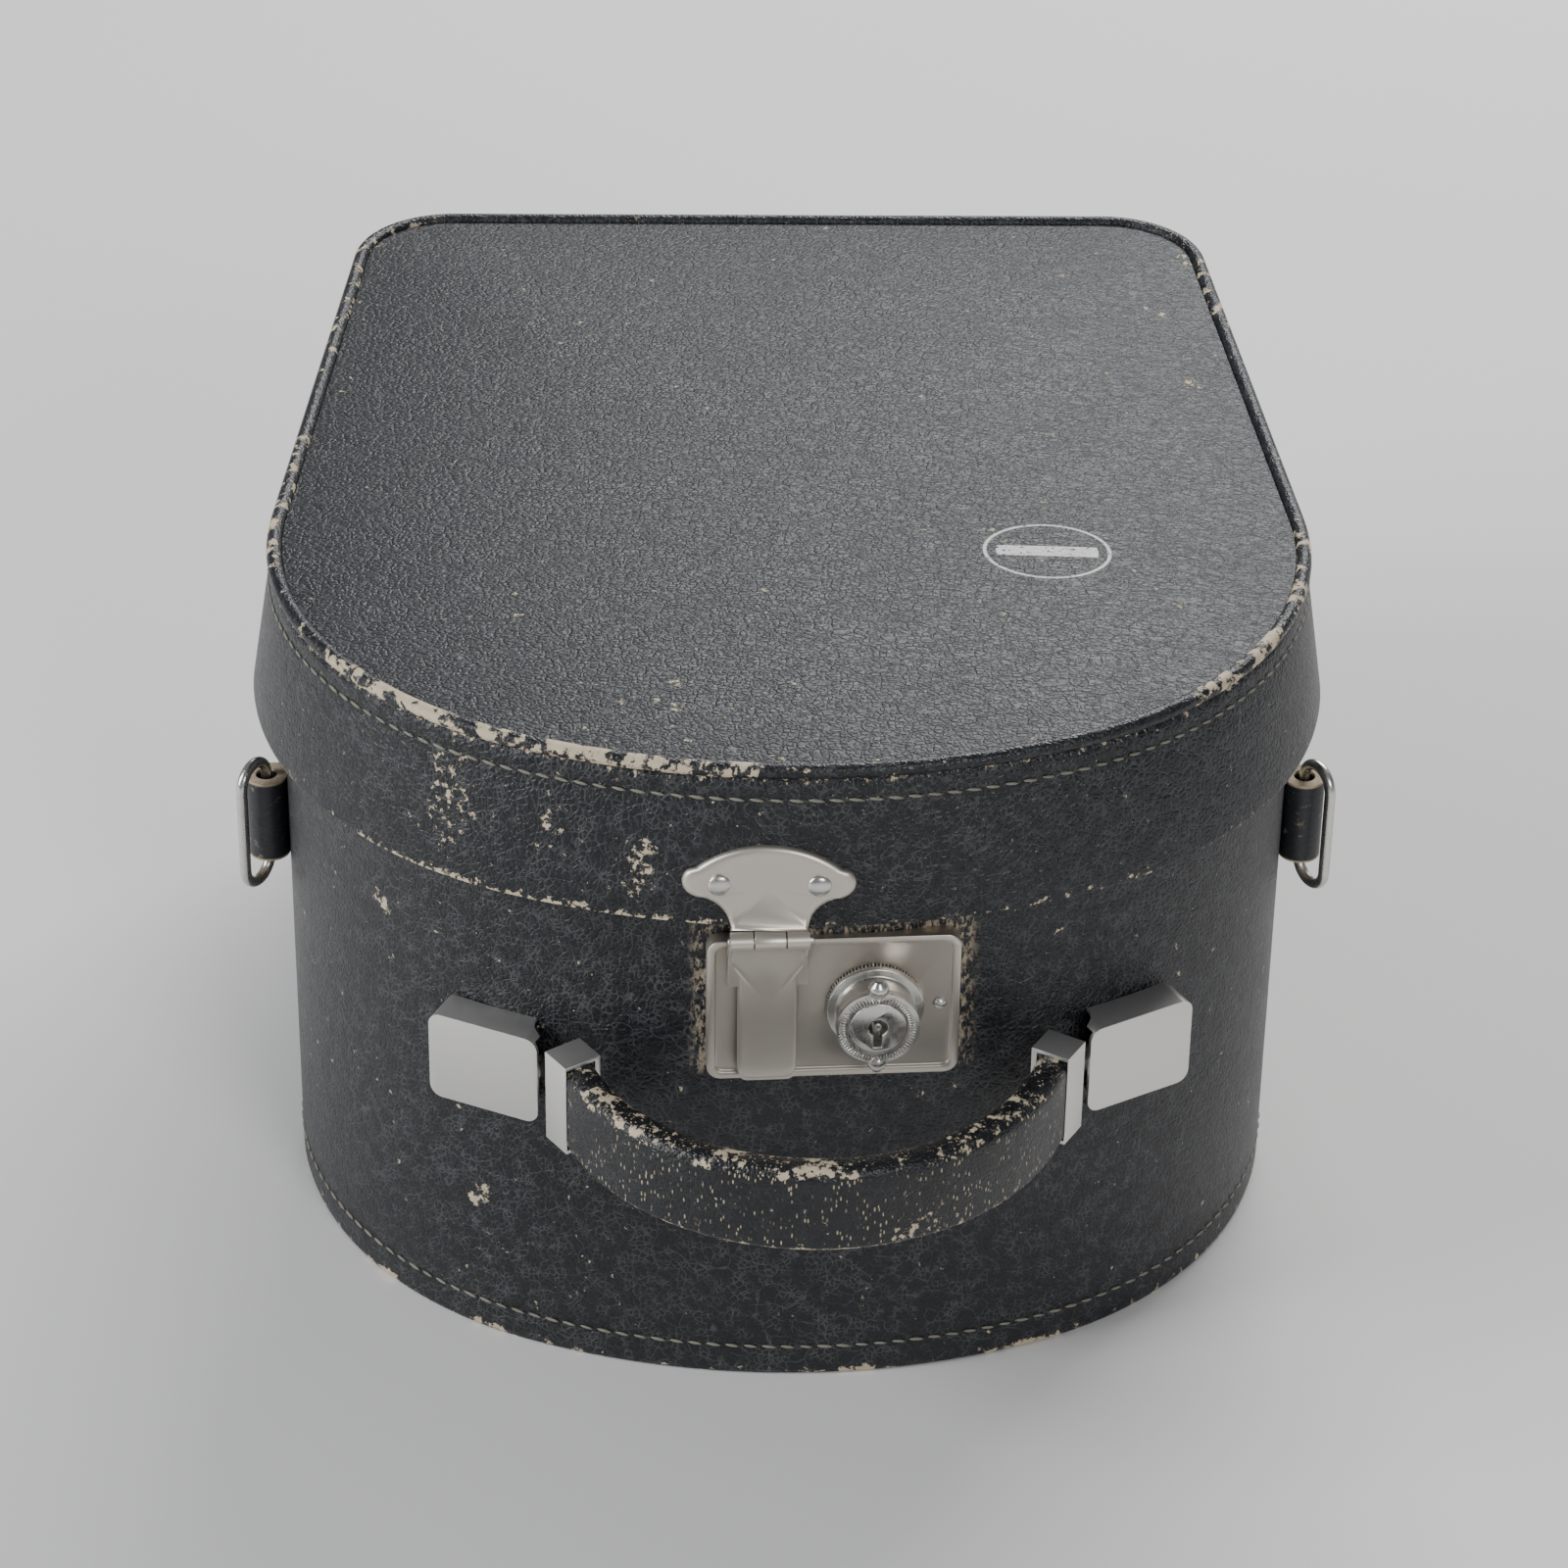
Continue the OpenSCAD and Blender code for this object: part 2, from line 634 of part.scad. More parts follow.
module lid_leaf() {
    difference() {
        union() {
            at_back_skirt() translate([-hinge_len / 2, joint, 0.6]) cube([hinge_len, leaf_t, leaf_h]);
            translate([0, hinge_y, hinge_z]) {
                knuckle(0);
                knuckle(2);
            }
            for (s = [-1, 1]) translate([s * knuckle_len - knuckle_len / 2 + gap,
                    hinge_y + 1, hinge_z])
                cube([knuckle_len - 2 * gap, skirt_out - knuckle_d / 2 - hinge_gap + leaf_t - 1, 1.3]);
            for (s = [-1, 1]) translate([s * knuckle_len - knuckle_len / 2 + gap,
                    body_d + skirt_out + joint, hinge_z])
                cube([knuckle_len - 2 * gap, leaf_t, skirt_z - hinge_z + 1.4]);
        }
        translate([0, hinge_y, hinge_z]) cyl_x(pin_d + 2 * fit_gap, -60, 60);
        at_back_skirt() for (s = [-1, 1]) translate([s * leaf_rivet_x, 0, leaf_rivet_up]) cyl_y(2.4, -3, 4);
    }
}
// The skirt's flared back: Y outwards from its face, Z up along it from its lower edge
module at_back_skirt() {
    translate([0, body_d + skirt_out, skirt_z]) rotate([flare, 0, 0]) children();
}
module hinge_at(s) { translate([s * hinge_span / 2, 0, 0]) children(); }
module rivet_head() {
    intersection() {
        translate([0, -1.4, 0]) sphere(d = 5, $fn = 32);
        cyl_y(8, 0, 3);
    }
    cyl_y(2.3, -leaf_t + 0.1, 0);
}
module body_rivets() {
    for (s = [-1, 1])
        translate([s * leaf_rivet_x, body_d + joint + leaf_t, hinge_z - leaf_rivet_low])
            rivet_head();
}
module lid_rivets() {
    at_back_skirt() for (s = [-1, 1])
        translate([s * leaf_rivet_x, joint + leaf_t, leaf_rivet_up]) rivet_head();
}
module body_leaf_left() { color("#b5ad9e") placed() hinge_at(-1) body_leaf(); }
module body_leaf_right() { color("#b5ad9e") placed() hinge_at(1) body_leaf(); }
module hinge_pin() {
    translate([0, hinge_y, hinge_z]) cyl_x(pin_d, -hinge_len / 2 - 0.6, hinge_len / 2 + 0.6);
}
module hinge_pin_left() { color("#a09d96") placed() hinge_at(-1) hinge_pin(); }
module hinge_pin_right() { color("#a09d96") placed() hinge_at(1) hinge_pin(); }
module body_rivets_left() { color("#d8d2c6") placed() hinge_at(-1) body_rivets(); }
module body_rivets_right() { color("#d8d2c6") placed() hinge_at(1) body_rivets(); }
module lid_leaf_left() { color("#b5ad9e") placed() hinge_at(-1) lid_leaf(); }
module lid_leaf_right() { color("#b5ad9e") placed() hinge_at(1) lid_leaf(); }
module lid_rivets_left() { color("#d8d2c6") placed() hinge_at(-1) lid_rivets(); }
module lid_rivets_right() { color("#d8d2c6") placed() hinge_at(1) lid_rivets(); }

// ---- Lid ----
board_top = rim_h - 1.8;
module lid_board() {
    color("tan") placed()
        slab(skirt_off(lid_in) - skirt_lining_off - 0.6, lid_in, board_top);
}
module lid_rim_board() {
    color("tan") placed()
        flared_ring(skirt_board_off, skirt_board_t, skirt_z + leather_t, board_top - 0.6);
}
module lid_skirt() {
    color("#26282c") placed() flared_ring(0, leather_t, skirt_z, skirt_top);
}
module lid_rim_lining() {
    color("#6b2230") placed() flared_ring(skirt_lining_off, lining_t, skirt_z + 1, lid_in - 1);
}
module lid_lining() {
    color("#6b2230") placed()
        slab(skirt_off(lid_in) - skirt_lining_off - lining_t - 0.8, lid_in - lining_t - gap,
            lid_in - gap);
}
piping_z = rim_h - 0.6;
piping_off = 0.6;
// Padded top: loops of the outline that shrink towards the middle as they rise
top_mid = [0, body_d * 0.47];
function shrunk(o, s, z) = [for (p = outline(o))
    [top_mid[0] + (p[0] - top_mid[0]) * s, top_mid[1] + (p[1] - top_mid[1]) * s, z]];
top_edge = -piping_r - 0.1 + piping_off;
dome_power = 3;
module lid_top() {
    steps = [1, 0.97, 0.93, 0.87, 0.78, 0.62, 0.4, 0.1];
    color("#3c3f44") placed() stack(concat(
        [shrunk(top_edge, 1, board_top + gap)],
        [for (s = steps) shrunk(top_edge, s, rim_h - 0.4 + dome_h * (1 - pow(s, dome_power)))]));
}
module lid_piping() {
    n = 8;
    color("#2b2d31") placed() loops([for (i = [n - 1:-1:0])
        lift(outline(piping_off + piping_r * cos(360 * i / n)), piping_z
            + piping_r * sin(360 * i / n))]);
}

base_board();
base_cover();
base_lining();
wall_board();
wall_cover();
wall_lining();
collar();
lock_plate();
lock_case();
stop_stud();
lock_bolt();
lock_spring();
knob_flange();
knob_ring();
key_barrel();
cap_left();
cap_right();
pivot_left();
pivot_right();
handle_core();
handle_cover();
ferrule_left();
ferrule_right();
loop_left();
loop_right();
ring_left();
ring_right();
body_leaf_left();
body_leaf_right();
hinge_pin_left();
hinge_pin_right();
body_rivets_left();
body_rivets_right();
lid_leaf_left();
lid_leaf_right();
lid_rivets_left();
lid_rivets_right();
lid_board();
lid_rim_board();
lid_skirt();
lid_top();
lid_piping();
lid_lining();
lid_rim_lining();
hasp_plate();
hasp_rivet_left();
hasp_rivet_right();
hasp_pin();
hasp_tongue();
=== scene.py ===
"""Looks for a round-fronted leather carrying case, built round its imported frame."""
import math

import bmesh
import bpy
from mathutils import Matrix, Vector


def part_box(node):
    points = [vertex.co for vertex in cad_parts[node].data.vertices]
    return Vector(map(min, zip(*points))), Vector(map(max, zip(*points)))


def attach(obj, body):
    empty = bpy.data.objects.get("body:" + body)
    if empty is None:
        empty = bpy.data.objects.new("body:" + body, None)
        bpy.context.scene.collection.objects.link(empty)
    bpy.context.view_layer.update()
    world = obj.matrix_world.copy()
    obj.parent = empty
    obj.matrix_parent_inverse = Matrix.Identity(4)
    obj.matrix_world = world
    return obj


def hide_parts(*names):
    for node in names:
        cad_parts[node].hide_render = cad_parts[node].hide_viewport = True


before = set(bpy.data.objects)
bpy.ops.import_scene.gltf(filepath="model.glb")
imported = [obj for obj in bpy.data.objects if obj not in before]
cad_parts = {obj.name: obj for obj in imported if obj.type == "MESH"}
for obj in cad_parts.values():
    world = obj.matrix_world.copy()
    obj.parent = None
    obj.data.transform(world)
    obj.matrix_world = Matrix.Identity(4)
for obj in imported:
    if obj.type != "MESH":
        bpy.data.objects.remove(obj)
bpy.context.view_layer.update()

bl_info = {
    "name": "Leather carrying case",
    "version": (1, 0, 0),
    "blender": (4, 5, 0),
    "location": "View3D > Sidebar > Case",
    "description": "Builds the leather, fittings and stage of a round-fronted carrying case",
    "category": "Object",
}


# ---- Sizes and colours -------------------------------------------------------------------

def length(name, description, default):
    """A length property in metres."""
    return bpy.props.FloatProperty(name=name, description=description, default=default,
                                   min=0.0, unit="LENGTH", precision=4)


def tint(name, description, default):
    """A colour property."""
    return bpy.props.FloatVectorProperty(name=name, description=description, default=default,
                                         size=3, min=0.0, max=1.0, subtype="COLOR")


class CaseSizes(bpy.types.PropertyGroup):
    """Sizes of the case's outline, leather and trim."""
    front_radius: length("Front radius", "Radius of the round front", 0.150)
    shoulder_radius: length("Shoulder radius", "Radius where the front turns", 0.093)
    corner_radius: length("Corner radius", "Radius of the back corners", 0.022)
    side_taper: bpy.props.FloatProperty(
        name="Side taper", description="How far each side closes in towards the back",
        default=math.radians(5.1), subtype="ANGLE")
    leather: length("Leather", "Thickness of the leather", 0.0012)
    skirt_out: length("Skirt lip", "How far the skirt's lower edge stands out", 0.0066)
    skirt_height: length("Skirt height", "From the skirt's lower edge up to the rim", 0.0363)
    rim_out: length("Rim", "How far the skirt stands out at the rim", 0.0008)
    piping_radius: length("Piping radius", "Radius of the piping", 0.0017)
    piping_out: length("Piping reach", "How far the piping's middle stands out", 0.0006)
    top_dome: length("Lid dome", "How far the lid's padded top rises", 0.0040)
    stitch_pitch: length("Stitch pitch", "Distance from stitch to stitch", 0.0042)
    stitch_length: length("Stitch length", "Length of one stitch", 0.0034)
    stitch_width: length("Stitch width", "Thickness of the thread", 0.0007)
    upper_stitch: length("Upper stitch", "Depth of the lid's stitching under the rim", 0.0071)
    lower_stitch: length("Lower stitch", "Height of the body's stitching", 0.0079)
    bow_radius: length("Bow radius", "Radius of the handle's outer face", 0.0575)
    strap: length("Strap", "Thickness of the handle's strap", 0.0072)
    bow_out: length("Bow reach", "How far the handle reaches out", 0.045)
    hasp_left: length("Hasp position", "Distance of the hasp left of the lock's middle", 0.0144)
    knob_right: length("Knob position", "Distance of the knob right of the lock's middle", 0.0089)
    lock_along: length("Lock position", "Distance of the lock to the right", 0.0085)
    handle_along: length("Handle position", "Distance of the handle to the right", 0.005)


class CaseColours(bpy.types.PropertyGroup):
    """Colours of the case's leather, thread and metal."""
    body: tint("Body leather", "Leather of the body and skirt", (0.0060, 0.0068, 0.0092))
    top: tint("Top leather", "Leather of the lid's top", (0.0095, 0.0105, 0.0135))
    strap: tint("Strap leather", "Leather of the handle", (0.007, 0.0075, 0.009))
    dust: tint("Dust", "Light dust in the leather's creases", (0.13, 0.135, 0.14))
    bare: tint("Bare leather", "Leather where the finish has worn off", (0.74, 0.62, 0.44))
    thread: tint("Thread", "Sewing thread", (0.27, 0.25, 0.20))
    print_ink: tint("Print", "The plain oval printed on the lid", (0.72, 0.72, 0.69))
    nickel: tint("Nickel", "Worn nickel of the lock and hasp", (0.56, 0.49, 0.40))
    satin: tint("Satin nickel", "Handle caps and ferrules", (0.66, 0.65, 0.61))
    steel: tint("Hidden steel", "Steel inside the lock and handle", (0.45, 0.45, 0.45))
    rust: tint("Rust", "Specks on the worn nickel", (0.24, 0.085, 0.028))
    lining: tint("Lining", "Cloth inside the case", (0.20, 0.035, 0.05))
    board: tint("Board", "Cut edges of the fibreboard", (0.36, 0.25, 0.14))
    floor: tint("Floor", "The plain floor", (0.78, 0.77, 0.75))


def sizes():
    """The scene's sizes."""
    return bpy.context.scene.case_sizes


def colours():
    """The scene's colours."""
    return bpy.context.scene.case_colours


# ---- Shader maths ------------------------------------------------------------------------

class Value:
    """A number socket that Python's arithmetic works on."""

    def __init__(self, paint, socket):
        self.paint = paint
        self.socket = socket

    def _math(self, operation, first, second):
        return self.paint.node("ShaderNodeMath", {"operation": operation}, {0: first, 1: second})

    def __add__(self, other):
        return self._math("ADD", self, other)

    __radd__ = __add__

    def __sub__(self, other):
        return self._math("SUBTRACT", self, other)

    def __rsub__(self, other):
        return self._math("SUBTRACT", other, self)

    def __mul__(self, other):
        return self._math("MULTIPLY", self, other)

    __rmul__ = __mul__

    def larger(self, other):
        """The larger of two values."""
        return self._math("MAXIMUM", self, other)


class Paint:
    """A material and the nodes that make it."""

    def __init__(self, name):
        self.material = bpy.data.materials.new(name)
        self.material.use_nodes = True
        self.tree = self.material.node_tree
        self.shader = self.tree.nodes["Principled BSDF"]
        self.place = self.node("ShaderNodeTexCoord", out="Object")

    def node(self, kind, settings=None, inputs=None, out=0):
        """Adds a node: its settings first, then its sockets, and returns one output."""
        made = self.tree.nodes.new(kind)
        for key, value in (settings or {}).items():
            if key == "stops":
                self._stops(made, value)
            else:
                setattr(made, key, value)
        for key, value in (inputs or {}).items():
            self.feed(made.inputs[key], value)
        return Value(self, made.outputs[out])

    def _stops(self, ramp, stops):
        while len(ramp.color_ramp.elements) < len(stops):
            ramp.color_ramp.elements.new(0.5)
        for element, (at, colour) in zip(ramp.color_ramp.elements, stops):
            element.position = at
            element.color = (*colour, 1.0)

    def feed(self, socket, value):
        """Links or sets one socket."""
        if isinstance(value, Value):
            self.tree.links.new(value.socket, socket)
        elif socket.type == "RGBA":
            socket.default_value = (*value, 1.0)
        else:
            socket.default_value = value

    def set(self, **inputs):
        """Sets the surface's own sockets, with _ for the spaces in their names."""
        for key, value in inputs.items():
            self.feed(self.shader.inputs[key.replace("_", " ")], value)

    def noise(self, scale, detail=2.0, rough=0.5, at=None):
        """Soft noise from 0 to 1."""
        return self.node("ShaderNodeTexNoise", None, {
            "Vector": at or self.place, "Scale": scale, "Detail": detail, "Roughness": rough})

    def cells(self, scale, feature="DISTANCE_TO_EDGE", at=None):
        """Cell pattern: the distance to the edge, or to the middle."""
        return self.node("ShaderNodeTexVoronoi", {"feature": feature},
                         {"Vector": at or self.place, "Scale": scale}, "Distance")

    def fade(self, value, start, end):
        """0 at start, 1 at end, smooth between."""
        return self.node("ShaderNodeMapRange", {"interpolation_type": "SMOOTHSTEP"}, {
            "Value": value, "From Min": start, "From Max": end, "To Min": 0.0, "To Max": 1.0})

    def vector(self, operation, *values, out=0):
        """Maths on places."""
        return self.node("ShaderNodeVectorMath", {"operation": operation},
                         dict(enumerate(values)), out)

    def mix(self, fac, first, second):
        """A blend of two colours."""
        made = self.tree.nodes.new("ShaderNodeMix")
        made.data_type = "RGBA"
        self.feed(made.inputs[0], fac)
        self.feed(made.inputs[6], first)
        self.feed(made.inputs[7], second)
        return Value(self, made.outputs[2])

    def warp(self, scale, amount):
        """The place, pushed about by noise."""
        push = self.node("ShaderNodeTexNoise", None, {
            "Vector": self.place, "Scale": scale, "Detail": 2.0}, "Color")
        push = self.vector("SUBTRACT", push, (0.5, 0.5, 0.5))
        return self.vector("MULTIPLY_ADD", push, (amount, amount, amount), self.place)

    def stretched(self, x, y, z, turn=(0, 0, 0)):
        """The place, turned and scaled along each axis."""
        return self.node("ShaderNodeMapping", None, {
            "Vector": self.place, "Scale": (x, y, z), "Rotation": turn})

    def axis(self, name, at=None):
        """One coordinate of the place."""
        return self.node("ShaderNodeSeparateXYZ", None, {0: at or self.place}, name)

    def near(self, point, reach, squeeze=(1, 1, 1)):
        """1 near a point, fading to 0 at its reach."""
        offset = self.vector("SUBTRACT", self.place, point)
        far = self.vector("LENGTH", self.vector("MULTIPLY", offset, squeeze), out="Value")
        return self.fade(far, reach, reach * 0.35)

    def bump(self, height, strength, distance, under=None):
        """A bumped normal."""
        inputs = {"Height": height, "Strength": strength, "Distance": distance}
        if under:
            inputs["Normal"] = under
        return self.node("ShaderNodeBump", None, inputs)


# ---- Materials ---------------------------------------------------------------------------

def leather(name, colour, grain, crease, dust, wear=None, gloss=0.40, relief=1.0,
            shape=(1.0, 1.0, 1.0), ink=None):
    """Grained leather: pebbles, dusty creases, worn bare places and, if asked, a print."""
    paint = Paint(name)
    near_place = paint.vector("MULTIPLY", paint.warp(420.0, 0.0012), shape)
    pebble_edge = paint.cells(1 / grain, at=near_place)
    pebble = paint.fade(pebble_edge, 0.0, 0.25)
    wide_place = paint.vector("MULTIPLY", paint.warp(150.0, 0.0045), shape)
    fold_edge = paint.cells(1 / crease, at=wide_place)
    fold = paint.fade(fold_edge, 0.0, 0.09)
    patch = paint.noise(34.0, 3.0)
    line = (1 - paint.fade(pebble_edge, 0.0, 0.13)) * paint.fade(paint.noise(260.0, 3.0),
                                                                0.42, 0.62)
    crack = (1 - paint.fade(fold_edge, 0.0, 0.035)) * paint.fade(paint.noise(190.0, 2.0),
                                                                0.40, 0.58)
    dusty = line.larger(crack) * (patch * 0.7 + 0.45) * dust
    lively = paint.mix(paint.noise(75.0, 3.0), [c * 0.75 for c in colour],
                       [c * 1.25 for c in colour])
    base = paint.mix(dusty, lively, colours().dust)
    rough = paint.noise(240.0, 2.0) * 0.14 + patch * 0.10 + (gloss - 0.12)
    rough = rough + dusty * 0.25
    height = pebble * 0.6 + fold * 0.5 + paint.noise(3200.0, 1.0) * 0.10
    if wear:
        bare = wear(paint)
        tan = paint.mix(paint.noise(420.0, 3.0), colours().bare,
                        [c * 0.6 for c in colours().bare])
        base = paint.mix(bare, base, tan)
        rough = rough + bare * 0.3
        height = height * (1 - bare * 0.7) - bare * 0.5
    if ink:
        base = ink(paint, base)
    paint.set(Base_Color=base, Roughness=rough, Normal=paint.bump(height, 0.7, 0.0003 * relief))
    paint.set(Specular_IOR_Level=0.5)
    return paint.material


def chips(paint, scale, amount, places, at=None):
    """Worn chips where noise is high, more of them near the places that rub."""
    rubbed = places[0]
    for place in places[1:]:
        rubbed = rubbed.larger(place)
    spots = paint.noise(scale, 5.0, 0.68, at) + rubbed * amount
    return paint.fade(spots, 0.66, 0.70)


def piping_wear(paint):
    """Rubbed hard on the left of the front and at the right shoulder."""
    (left, front, _), (right, back, _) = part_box("wall_cover")
    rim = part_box("lid_piping")[1][2]
    places = [
        paint.near((left * 0.50, front + 0.014, rim), 0.085) * 1.15,
        paint.near((right * 0.93, front + 0.062, rim), 0.060),
        paint.near((left * 0.98, front + 0.115, rim), 0.050) * 0.8,
        paint.near((left * 0.85, back - 0.04, rim), 0.06) * 0.7,
        paint.near((right * 0.85, back - 0.04, rim), 0.06) * 0.6,
    ]
    return chips(paint, 230.0, 0.17, places)


def skirt_wear(paint):
    """Flecks on the lower edge and a few scuffs on the face."""
    (left, front, low), (right, _, high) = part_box("lid_skirt")
    edge = paint.fade(paint.axis("Z"), low + 0.0030, low + 0.0004)
    rim = paint.fade(paint.axis("Z"), high - 0.0016, high - 0.0002)
    streak = (0.55, 1.0, 0.22)
    places = [
        edge * paint.near((left * 0.50, front + 0.012, low), 0.075) * 1.0,
        edge * paint.near((right * 0.50, front + 0.012, low), 0.045) * 0.6,
        edge * 0.35,
        rim * 0.55,
        paint.near((left * 0.60, front + 0.024, low + 0.018), 0.010, (1, 1, 0.5)) * 0.62,
        paint.near((left * 0.42, front + 0.013, low + 0.013), 0.0035, streak) * 0.72,
        paint.near((left * 0.27, front + 0.006, low + 0.010), 0.0032, streak) * 0.80,
    ]
    return chips(paint, 520.0, 0.20, places)


def body_wear(paint):
    """Chips along the bottom edge and a few on the wall."""
    (left, front, _), (right, _, high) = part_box("wall_cover")
    edge = paint.fade(paint.axis("Z"), 0.0034, 0.0008)
    places = [
        edge * 0.40,
        edge * paint.near((right * 0.15, front + 0.001, 0.0), 0.012) * 1.1,
        edge * paint.near((right * 0.48, front + 0.012, 0.0), 0.016) * 1.0,
        edge * paint.near((left * 0.58, front + 0.018, 0.0), 0.012) * 1.0,
        edge * paint.near((left * 0.78, front + 0.040, 0.0), 0.014) * 0.9,
        edge * paint.near((right * 0.74, front + 0.034, 0.0), 0.010) * 0.9,
        paint.near((left * 0.80, front + 0.033, high * 0.80), 0.006) * 0.9,
        paint.near((left * 0.60, front + 0.018, high * 0.29), 0.006) * 0.9,
    ]
    return chips(paint, 320.0, 0.20, places).larger(fuzz(paint))


def fuzz(paint):
    """Pale fibres of polish that cling round the lock plate."""
    (x0, y0, z0), (x1, _, z1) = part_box("lock_plate")
    across = paint.fade(paint.axis("X"), x0 - 0.0045, x0 - 0.0005)
    across = across * paint.fade(paint.axis("X"), x1 + 0.0050, x1 + 0.0005)
    up = paint.fade(paint.axis("Z"), z0 - 0.0025, z0) * paint.fade(paint.axis("Z"),
                                                                   z1 + 0.0045, z1)
    band = across * up * paint.fade(paint.axis("Y"), y0 + 0.02, y0 + 0.012)
    hairs = paint.noise(1.0, 3.0, 0.7, paint.stretched(900, 900, 420, (0.2, 0.5, 0.4)))
    return band * paint.fade(hairs, 0.46, 0.60) * 0.65


def top_wear(paint):
    """Small chips near the right and back edges of the lid's top."""
    (left, front, _), (right, back, high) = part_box("lid_top")
    places = [
        paint.near((right * 0.86, back - 0.085, high), 0.006),
        paint.near((right * 0.80, back - 0.050, high), 0.005),
        paint.near((right * 0.88, back - 0.020, high), 0.006),
        paint.near((left * 0.20, front + 0.020, high), 0.02) * 0.35,
    ]
    return chips(paint, 300.0, 0.20, places)


def strap_wear(paint):
    """The handle's top ridge and lower edge are rubbed bare, its face is flecked."""
    (_, front, low), (right, _, high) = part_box("handle_cover")
    ridge = paint.fade(paint.axis("Z"), high - 0.0034, high - 0.0012)
    under = paint.fade(paint.axis("Z"), low + 0.0018, low + 0.0004)
    slanted = paint.stretched(1.0, 1.0, 0.34, (0.0, 0.5, 0.0))
    flecks = paint.cells(1150.0, "F1", slanted)
    flecks = paint.fade(flecks, 0.27, 0.18) * paint.fade(paint.noise(150.0, 3.0), 0.40, 0.56)
    outer = paint.fade(paint.noise(70.0, 2.0), 0.35, 0.7)
    places = [ridge * (outer * 0.6 + 0.30), under * 0.80,
              paint.near((right * 0.42, front + 0.006, low), 0.012) * 0.6]
    return chips(paint, 380.0, 0.215, places).larger(flecks * 0.75)


def oval_print(paint, base):
    """A plain printed oval with one bar across it, on the right of the lid's top."""
    (_, front, _), (right, _, high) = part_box("lid_top")
    middle = (right * 0.503, front + 0.0843, high)
    half_wide, half_tall, half_bar = 0.0145, 0.0118, 0.0022
    offset = paint.vector("SUBTRACT", paint.place, middle)
    flat = paint.vector("MULTIPLY", offset, (1 / half_wide, 1 / half_tall, 0.0))
    radius = paint.vector("LENGTH", flat, out="Value")
    ring = paint.fade(radius, 0.93, 0.945) * paint.fade(radius, 1.0, 0.985)
    inside = paint.fade(radius, 0.80, 0.78)
    height = paint.node("ShaderNodeMath", {"operation": "ABSOLUTE"}, {0: paint.axis("Y", offset)})
    bar = paint.fade(height, half_bar, half_bar - 0.0002) * inside
    ink = ring.larger(bar) * paint.fade(paint.noise(900.0, 2.0), 0.30, 0.42)
    return paint.mix(ink, base, colours().print_ink)


def nickel(name, colour, rust, brushed, gloss):
    """Plated metal: fine brushing, dull patches, specks of rust and scratches."""
    paint = Paint(name)
    streak = paint.noise(1.0, 2.0, 0.6, paint.stretched(*brushed))
    patch = paint.noise(130.0, 4.0, 0.62)
    specks = paint.fade(paint.noise(1300.0, 3.0, 0.7), 0.60, 0.68) * paint.fade(patch, 0.42, 0.56)
    stain = paint.fade(patch, 0.50, 0.70) * 0.45
    rusty = (specks * 0.9).larger(stain) * rust
    scratch = paint.fade(paint.cells(160.0, at=paint.stretched(1, 1, 0.15, (0.4, 0.9, 0.3))),
                         0.012, 0.004)
    base = paint.mix(streak, [c * 0.90 for c in colour], [min(1, c * 1.08) for c in colour])
    base = paint.mix(rusty, base, colours().rust)
    rough = streak * 0.10 + patch * 0.14 + rusty * 0.35 + scratch * 0.12 + (gloss - 0.1)
    height = streak * 0.35 - scratch * 0.4 + specks * 0.3 * rust
    paint.set(Base_Color=base, Roughness=rough, Metallic=1 - rusty * 0.6,
              Normal=paint.bump(height, 0.35, 0.00008))
    return paint.material


def cloth(name, colour):
    """Short-napped lining cloth."""
    paint = Paint(name)
    nap = paint.noise(1800.0, 3.0, 0.7)
    tone = paint.noise(40.0, 3.0)
    weave = paint.mix(tone * 0.6 + nap * 0.4, [c * 0.6 for c in colour],
                      [c * 1.5 for c in colour])
    paint.set(Base_Color=weave, Roughness=0.9, Normal=paint.bump(nap, 0.6, 0.0003))
    paint.set(Sheen_Weight=0.35)
    return paint.material


def fibreboard(name, colour):
    """Pressed board, seen at its cut edges."""
    paint = Paint(name)
    layers = paint.noise(1.0, 4.0, 0.6, paint.stretched(300, 300, 1500))
    paint.set(Base_Color=paint.mix(layers, [c * 0.6 for c in colour], colour), Roughness=0.85,
              Normal=paint.bump(layers, 0.4, 0.0002))
    return paint.material


def thread(name, colour):
    """Waxed linen thread, twisted and a little dirty."""
    paint = Paint(name)
    twist = paint.noise(1.0, 2.0, 0.5, paint.stretched(2600, 2600, 1500, (0.3, 0.4, 0.7)))
    dirt = paint.noise(90.0, 3.0)
    shade = paint.mix(twist * 0.5 + dirt * 0.5, [c * 0.35 for c in colour],
                      [min(1, c * 1.35) for c in colour])
    paint.set(Base_Color=shade, Roughness=0.7, Normal=paint.bump(twist, 0.5, 0.0002))
    return paint.material


def loop_leather(name):
    """Strap leather, with pale cut edges at the loop's two ends."""
    paint = Paint(name)
    low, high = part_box("loop_left")[0][2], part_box("loop_left")[1][2]
    cut = paint.fade(paint.axis("Z"), high - 0.0009, high - 0.0003)
    cut = cut.larger(paint.fade(paint.axis("Z"), low + 0.0007, low + 0.0002))
    lines = paint.noise(1.0, 4.0, 0.65, paint.stretched(500, 500, 1400))
    rubs = paint.fade(paint.noise(420.0, 4.0, 0.7), 0.60, 0.70) * 0.35
    black = paint.mix(lines, [0.008, 0.009, 0.011], [0.03, 0.032, 0.037])
    pale = paint.mix(paint.noise(900.0, 3.0), colours().bare, [0.30, 0.22, 0.14])
    base = paint.mix(cut.larger(rubs), black, pale)
    paint.set(Base_Color=base, Roughness=0.42 + cut * 0.4,
              Normal=paint.bump(lines, 0.5, 0.0003))
    return paint.material


